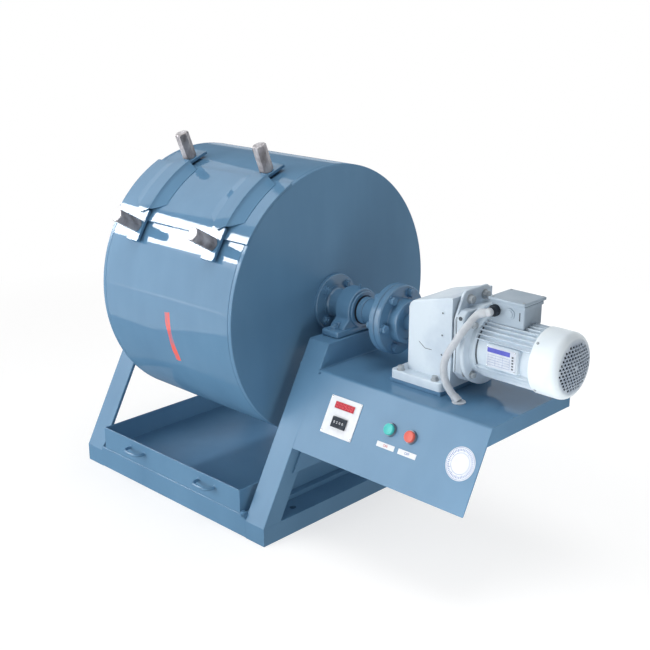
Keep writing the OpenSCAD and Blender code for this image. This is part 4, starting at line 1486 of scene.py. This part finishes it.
def curved_cover():
    """The rolled cover plate over the feed opening."""
    inner = DRUM_R + 0.3 * MM
    outer = inner + COVER_T
    edge = 1 * MM
    section = [(-DRUM_END, inner), (-DRUM_END, outer - edge), (-DRUM_END + edge, outer),
               (DRUM_END - edge, outer), (DRUM_END, outer - edge), (DRUM_END, inner)]
    bm = bmesh.new()
    add_turned(bm, section, drum_section(COVER_ANGLE + COVER_HALF_ANGLE), 40, radians(2 * COVER_HALF_ANGLE),
               closed=True)
    close_rims(bm)
    round_edges(bm, bm.verts, 0.7 * MM, angle=50, keep=lambda e: runs_across(e, 300 * MM))
    new_piece("curved_cover", bm, body="drum", finish=COVER_ENAMEL, replaces=("cover_plate",), sharp=30)


def mirrored(half):
    """A whole outline from one half of it."""
    return half + [(-across, up) for across, up in reversed(half)]


def pressed_bar(x):
    """One clamp bar: a pressed hat section whose wings end before its flat ends."""
    section = mirrored([(-BAR_HALF, 375.4 * MM)] + mm((-54, 376.6), (-34, 381.5), (-27, 384.4), (-24, 388.6),
                                                      (-22, 389.4)))
    first, last = 34.5, 65.6
    bm = bmesh.new()
    add_turned(bm, section, Matrix.Translation((x, 0, 0)) @ drum_section(last), 30, radians(last - first))
    for angle, near, far, side in ((STUD_ANGLES[0], 52, 76, 1), (STUD_ANGLES[1], 22, 38, -1)):
        place = out_of_drum(angle, x, 0)
        for wing in (-1, 1):
            outward = Vector((wing * (far - near) * MM, -side * (BAR_HALF - END_HALF), 0))
            point = place @ Vector((wing * END_HALF, side * near * MM, 0))
            slice_at(bm, point, place.to_3x3() @ outward, True)
    bmesh.ops.solidify(bm, geom=bm.faces[:], thickness=-3.2 * MM)
    bmesh.ops.recalc_face_normals(bm, faces=bm.faces)
    round_edges(bm, bm.verts, 0.9 * MM, angle=60)
    for angle, start, end in ((STUD_ANGLES[0], -42, 48), (STUD_ANGLES[1], -48, 42)):
        add_block(bm, (-END_HALF, start * MM, 0), (END_HALF, end * MM, 8 * MM), 1.2 * MM,
                  place=out_of_drum(angle, x, NUT_SEAT - 8 * MM))
    return to_mesh(bm)


def clamp_bars():
    """The two bars that hold the cover down."""
    bm = bmesh.new()
    for x in CLAMP_XS:
        stamp(bm, pressed_bar(x))
    new_piece("pressed_clamp_bars", bm, body="drum", finish=COVER_ENAMEL, replaces=("clamp_bars",), sharp=32)


def long_nut():
    """A long hexagon nut, chamfered at both ends, with a closed top."""
    wide = NUT_FLATS / math.sqrt(3) * 1.02
    drop = 3.2 * MM
    hexagon = bmesh.new()
    add_plate(hexagon, hex_outline(NUT_FLATS), NUT_LENGTH, Matrix(), 0.7 * MM)
    cone = bmesh.new()
    add_turned(cone, [(0, 0), (0, NUT_FLATS / 2), (drop, wide), (NUT_LENGTH - drop, wide),
                      (NUT_LENGTH, NUT_FLATS / 2 - 1 * MM), (NUT_LENGTH, 0)], Matrix(), 64)
    return combined(to_mesh(hexagon), to_mesh(cone), "INTERSECT")


def threaded_rod(radius, length, pitch=2 * MM):
    """A rod whose profile repeats a thread's ridges."""
    turns = int(length / pitch)
    end = turns * pitch + 1 * MM
    profile = [(0, 0), (0, radius * 0.9)]
    for i in range(turns):
        profile += [(pitch * (i + 0.5), radius), (pitch * (i + 1), radius * 0.9)]
    bm = bmesh.new()
    add_turned(bm, profile + [(end, radius * 0.75), (end, 0)], Matrix(), 32)
    return to_mesh(bm)


def clamp_nuts():
    """The four studs and the long nuts on them."""
    nuts = bmesh.new()
    studs = bmesh.new()
    nut = long_nut()
    rod = threaded_rod(8 * MM, NUT_SEAT - DRUM_R + 60 * MM)
    for x in CLAMP_XS:
        for angle in STUD_ANGLES:
            stamp(nuts, nut, out_of_drum(angle, x, NUT_SEAT))
            stamp(studs, rod, out_of_drum(angle, x, DRUM_R + 0.4 * MM))
    new_piece("long_nuts", nuts, "nut_steel", "drum", replaces=("clamp_nuts",))
    new_piece("threaded_studs", studs, "nut_steel", "drum", replaces=("clamp_studs",))


def inner_shelf():
    """The shelf inside the drum that lifts the sample."""
    rounded_copy("drum_shelf", "lifting_shelf", 2 * MM, 2, body="drum")


# ---- Tray ----

def collecting_tray():
    """The folded tray with a safe hem along its rim and lapped corners."""
    box_low, box_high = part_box("tray_pan")
    top = box_high.z
    hem_low = top - 10 * MM
    wall = 2 * MM
    fold = wall + 1.8 * MM
    bm = cad_copy("tray_pan")
    round_edges(bm, bm.verts, 0.8 * MM)
    for side in (-1, 1):
        x0, x1 = sorted((side * (box_high.x - wall), side * (box_high.x - fold)))
        add_block(bm, (x0, box_low.y + wall, hem_low), (x1, box_high.y - wall, top), 0.7 * MM)
        y0, y1 = sorted((side * (box_high.y - wall), side * (box_high.y - fold)))
        add_block(bm, (box_low.x + wall, y0, hem_low), (box_high.x - wall, y1, top), 0.7 * MM)
    new_piece("folded_tray", bm, body="tray", replaces=("tray_pan",))
    lines = []
    for across, along in CORNERS:
        x = across * (box_high.x - 1 * MM)
        y = along * (box_high.y - 1 * MM)
        lines.append(((x, y, box_low.z + 3 * MM), (x, y, top - 2 * MM)))
    weld_lines("tray_corner_welds", lines, 0.9 * MM, "tray")


def tray_handles():
    """Bent bar handles on small weld collars."""
    box_low, box_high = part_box("tray_handles")
    front = box_high.y
    bar = 4.5 * MM
    z = (box_low.z + box_high.z) / 2
    width = 74 * MM
    half = width / 2 - bar
    bm = bmesh.new()
    for x in (box_low.x + width / 2, box_high.x - width / 2):
        inside, outside = front + 1 * MM, box_low.y + bar
        route = [(x - half, inside, z), (x - half, outside, z),
                 (x + half, outside, z), (x + half, inside, z)]
        stamp(bm, swept_bar(route, bar, 22 * MM, 5))
        for end in (x - half, x + half):
            collar = mm((-1, 0), (-1, 7), (0.6, 7), (2.4, 5), (2.8, 0))
            add_turned(bm, collar, facing_front(end, front, z), 28)
    new_piece("bar_handles", bm, body="tray", replaces=("tray_handles",))


# ---- Studio ----

def add_floor():
    """A white floor that keeps the soft shadow and fades out around the machine; the glow it gives the
    machine has a painted shadow under the platform.
    """
    bm = bmesh.new()
    bmesh.ops.create_grid(bm, x_segments=1, y_segments=1, size=60)
    mesh = bpy.data.meshes.new("studio_floor")
    bm.to_mesh(mesh)
    bm.free()
    floor = bpy.data.objects.new("studio_floor", mesh)
    floor.location = (0, 0, -0.5 * MM)
    bpy.context.scene.collection.objects.link(floor)
    finish = Finish("studio_floor")
    reach = finish.add("ShaderNodeVectorMath", finish.place, operation="LENGTH").outputs["Value"]
    far = finish.spread(reach, 1.0, 2.4, 0.0, 1.0)
    white = finish.glow(1.0)
    lit = finish.add("ShaderNodeBsdfDiffuse", (0.4, 0.4, 0.4, 1)).outputs[0]
    near = finish.add("ShaderNodeAddShader", finish.glow(0.66), lit).outputs[0]
    background = finish.add("ShaderNodeMixShader", far, near, white).outputs[0]
    # The glow that lights the machine is dimmer within reach of the platform: a painted shadow.
    from_platform = finish.add("ShaderNodeVectorMath", finish.place, (0.62, 0.05, 0), operation="DISTANCE")
    light = finish.glow(finish.spread(from_platform.outputs["Value"], 0.2, 0.65, PAINTED_SHADOW_GLOW, FLOOR_GLOW))
    both = finish.add("ShaderNodeMixShader", finish.seen(), light, background).outputs[0]
    finish.join(both, finish.tree.nodes["Material Output"].inputs["Surface"])
    mesh.materials.append(finish.material)


def add_world():
    """White behind the machine, and soft light that is stronger from the front left."""
    world = bpy.data.worlds.new("studio")
    bpy.context.scene.world = world
    world.use_nodes = True
    nodes = Nodes(world.node_tree)
    direction = nodes.add("ShaderNodeTexCoord").outputs["Generated"]
    towards = nodes.add("ShaderNodeVectorMath", direction, BRIGHT_SIDE, operation="DOT_PRODUCT")
    sky = nodes.spread(towards.outputs["Value"], -1.0, 1.0, AMBIENT_DIM, AMBIENT_BRIGHT)
    background = nodes.tree.nodes["Background"]
    nodes.join((1, 1, 1, 1), background.inputs["Color"])
    nodes.join(nodes.spread(nodes.seen(), 0.0, 1.0, sky, 1.0), background.inputs["Strength"])


FLOOR_GLOW = 0.7
PAINTED_SHADOW_GLOW = 0.3
AMBIENT_DIM = 0.0
AMBIENT_BRIGHT = 0.42
BRIGHT_SIDE = (-0.5, -0.5, 0.7)


def add_softbox(name, place, aim, width, height, radiance, up=(0, 0, 1), reaches="both"):
    """A rectangular lamp turned towards aim, as bright as that over its face."""
    data = bpy.data.lights.new(name, "AREA")
    data.shape = "RECTANGLE"
    data.size = width
    data.size_y = height
    data.energy = radiance * pi * width * height
    out = (Vector(place) - Vector(aim)).normalized()
    across = Vector(up).cross(out).normalized()
    lamp = bpy.data.objects.new(name, data)
    lamp.matrix_world = turn_axes(across, out.cross(across), out, place)
    lamp.visible_diffuse = reaches != "gloss"
    lamp.visible_glossy = reaches != "diffuse"
    lamp.visible_camera = False
    bpy.context.scene.collection.objects.link(lamp)


def add_lamps():
    """Soft window light from the front left, and weak fills from the other sides."""
    middle = (0.2, -0.1, 0.5)
    add_softbox("window_light", (-1.3, -2.85, 1.25), middle, 2.9, 1.7, 4.1, reaches="diffuse")
    add_softbox("window_sheen", (-1.75, -2.6, 1.06), (0.2, -0.1, 0.4), 2.9, 2.1, 3.3, reaches="gloss")
    add_softbox("upper_sheen", (-1.39, -2.43, 1.95), (0.5, -0.18, 0.45), 2.2, 0.8, 2.6, reaches="gloss")
    glint = Vector((-2.578, -1.746, 2.113))
    glint_aim = glint + Vector((0.615, 0.591, -0.509))
    add_softbox("window_glint", glint, glint_aim, 1.27, 1.03, 40, (0.05, 0.62, 0.78), "gloss")
    add_softbox("overhead", (0.6, -0.3, 3.4), (0.4, -0.1, 0.4), 1.6, 1.6, 4.2, (0, 1, 0), "diffuse")
    add_softbox("left_sheen", (-3.05, 0.0, 2.2), (-0.05, -0.4, 0.7), 2.8, 3.0, 3.4, reaches="gloss")
    add_softbox("floor_sheen", (-1.75, -1.75, 0.03), (-1.75, -1.75, 1), 2.0, 2.0, 2.6, (1, 0, 0), "gloss")
    add_softbox("back_sheen", (-2.1, 2.1, 1.0), (0, 0, 0.9), 0.9, 0.45, 3.2, reaches="gloss")
    add_softbox("side_fill", (1.35, -0.5, 0.2), (0.9, -0.1, 0.35), 0.5, 0.3, 5.0, reaches="diffuse")
    add_softbox("low_fill", (-0.2, -2.7, 0.4), (0, 0, 0.15), 2.4, 0.7, 2.3, reaches="diffuse")
    add_softbox("tray_fill", (0.0, -0.02, 0.145), (-0.29, -0.02, 0.12), 0.6, 0.04, 2.4, reaches="diffuse")
    add_softbox("back_fill", (0.2, 2.6, 0.7), (0, 0, 0.1), 3.0, 0.9, 6.0, reaches="diffuse")


# ---- Making ----

add_camera()
CONDUIT_GREY = moulded("grey_conduit", (198, 204, 210), (184, 191, 199), 0.45)
lay_conduit()

DRUM_ENAMEL = enamel("drum_enamel", paint_stroke, blur=0.05)
COVER_ENAMEL = enamel("cover_enamel", blur=0.05)
DECK_ENAMEL = enamel("deck_enamel", polish=deck_polish, blur=deck_blur)
CAST_ENAMEL = enamel("cast_enamel", polish=0.32, blur=0.2)
BEZEL_STEEL = steel("bezel_steel", (150, 158, 168), (120, 128, 138), 0.35, 0.5)
ZINC = moulded("zinc_bolt_grey", (176, 184, 190), (150, 158, 164), 0.4, 0.3)
BOX_PAINT = cast_paint("terminal_box_paint", (164, 180, 194), (150, 167, 182))
# Dark grey for small marks, print and casting lines, and as painted shade in recesses, grooves and slots.
DARK_MARKS_AND_SHADE = moulded("dark_marks_and_painted_shade", (104, 112, 120), (66, 74, 84), 0.7)
DIGIT_RED = moulded("digit_red", (226, 92, 100), (206, 76, 84), 0.4)
RED_INK = moulded("red_ink", (196, 70, 76), (180, 60, 66), 0.5)
BLUE_INK = moulded("blue_ink", (96, 128, 182), (84, 116, 172), 0.5)
VIOLET_INK = moulded("violet_ink", (98, 104, 196), (86, 92, 184), 0.4)
PLATE_SILVER = moulded("plate_silver", (208, 216, 226), (192, 200, 212), 0.4, shine=0.2)
FINISHES = {
    "blue_paint": enamel("machine_enamel"),
    "drive_paint": cast_paint("drive_casting_paint", (210, 223, 233), (190, 205, 219)),
    "cowl_paint": cast_paint("cowl_sheet_paint", (230, 240, 246), (220, 231, 240), 0.12, grille_dust),
    "nut_steel": tarnished("tarnished_steel"),
    "bright_steel": steel("bright_steel", (226, 230, 234), (188, 194, 200), 0.16, 0.3),
    "white_plate": moulded("white_plate", (232, 236, 240), (224, 228, 234), 0.45, shine=0.05),
    "red_window": moulded("red_window", (186, 44, 62), (166, 34, 52), 0.3, shine=0.1),
    "black_plastic": moulded("black_plastic", (58, 66, 76), (42, 48, 56), 0.5, shine=0.1),
    "green_button": moulded("green_button", (84, 196, 192), (68, 182, 178), 0.35),
    "red_button": moulded("red_button", (222, 112, 100), (210, 98, 88), 0.35),
    "grey_conduit": CONDUIT_GREY,
}

frame_members()
frame_welds()
front_lug()
folded_deck()
gusset()
revolution_counter()
panel_labels()
round_badge()
push_buttons()
for side in ("left", "right"):
    bearing_housing(f"pillow_block_{side}", f"bearing_{side}")
gearbox()
adapter()
motor_flange()
motor_frame()
fan_cowl()
terminal_box()
conduit_fittings()
rolled_shell()
end_plate(-1, "end_disc_left", "drum_end_left")
end_plate(1, "end_disc_right", "drum_end_right")
hub(-1, "hub_left", "stub_shaft_left")
hub(1, "hub_right", "stub_shaft_right")
coupling()
curved_cover()
clamp_bars()
clamp_nuts()
inner_shelf()
collecting_tray()
tray_handles()
add_floor()
add_world()
add_lamps()
bpy.context.scene.view_settings.view_transform = "Standard"
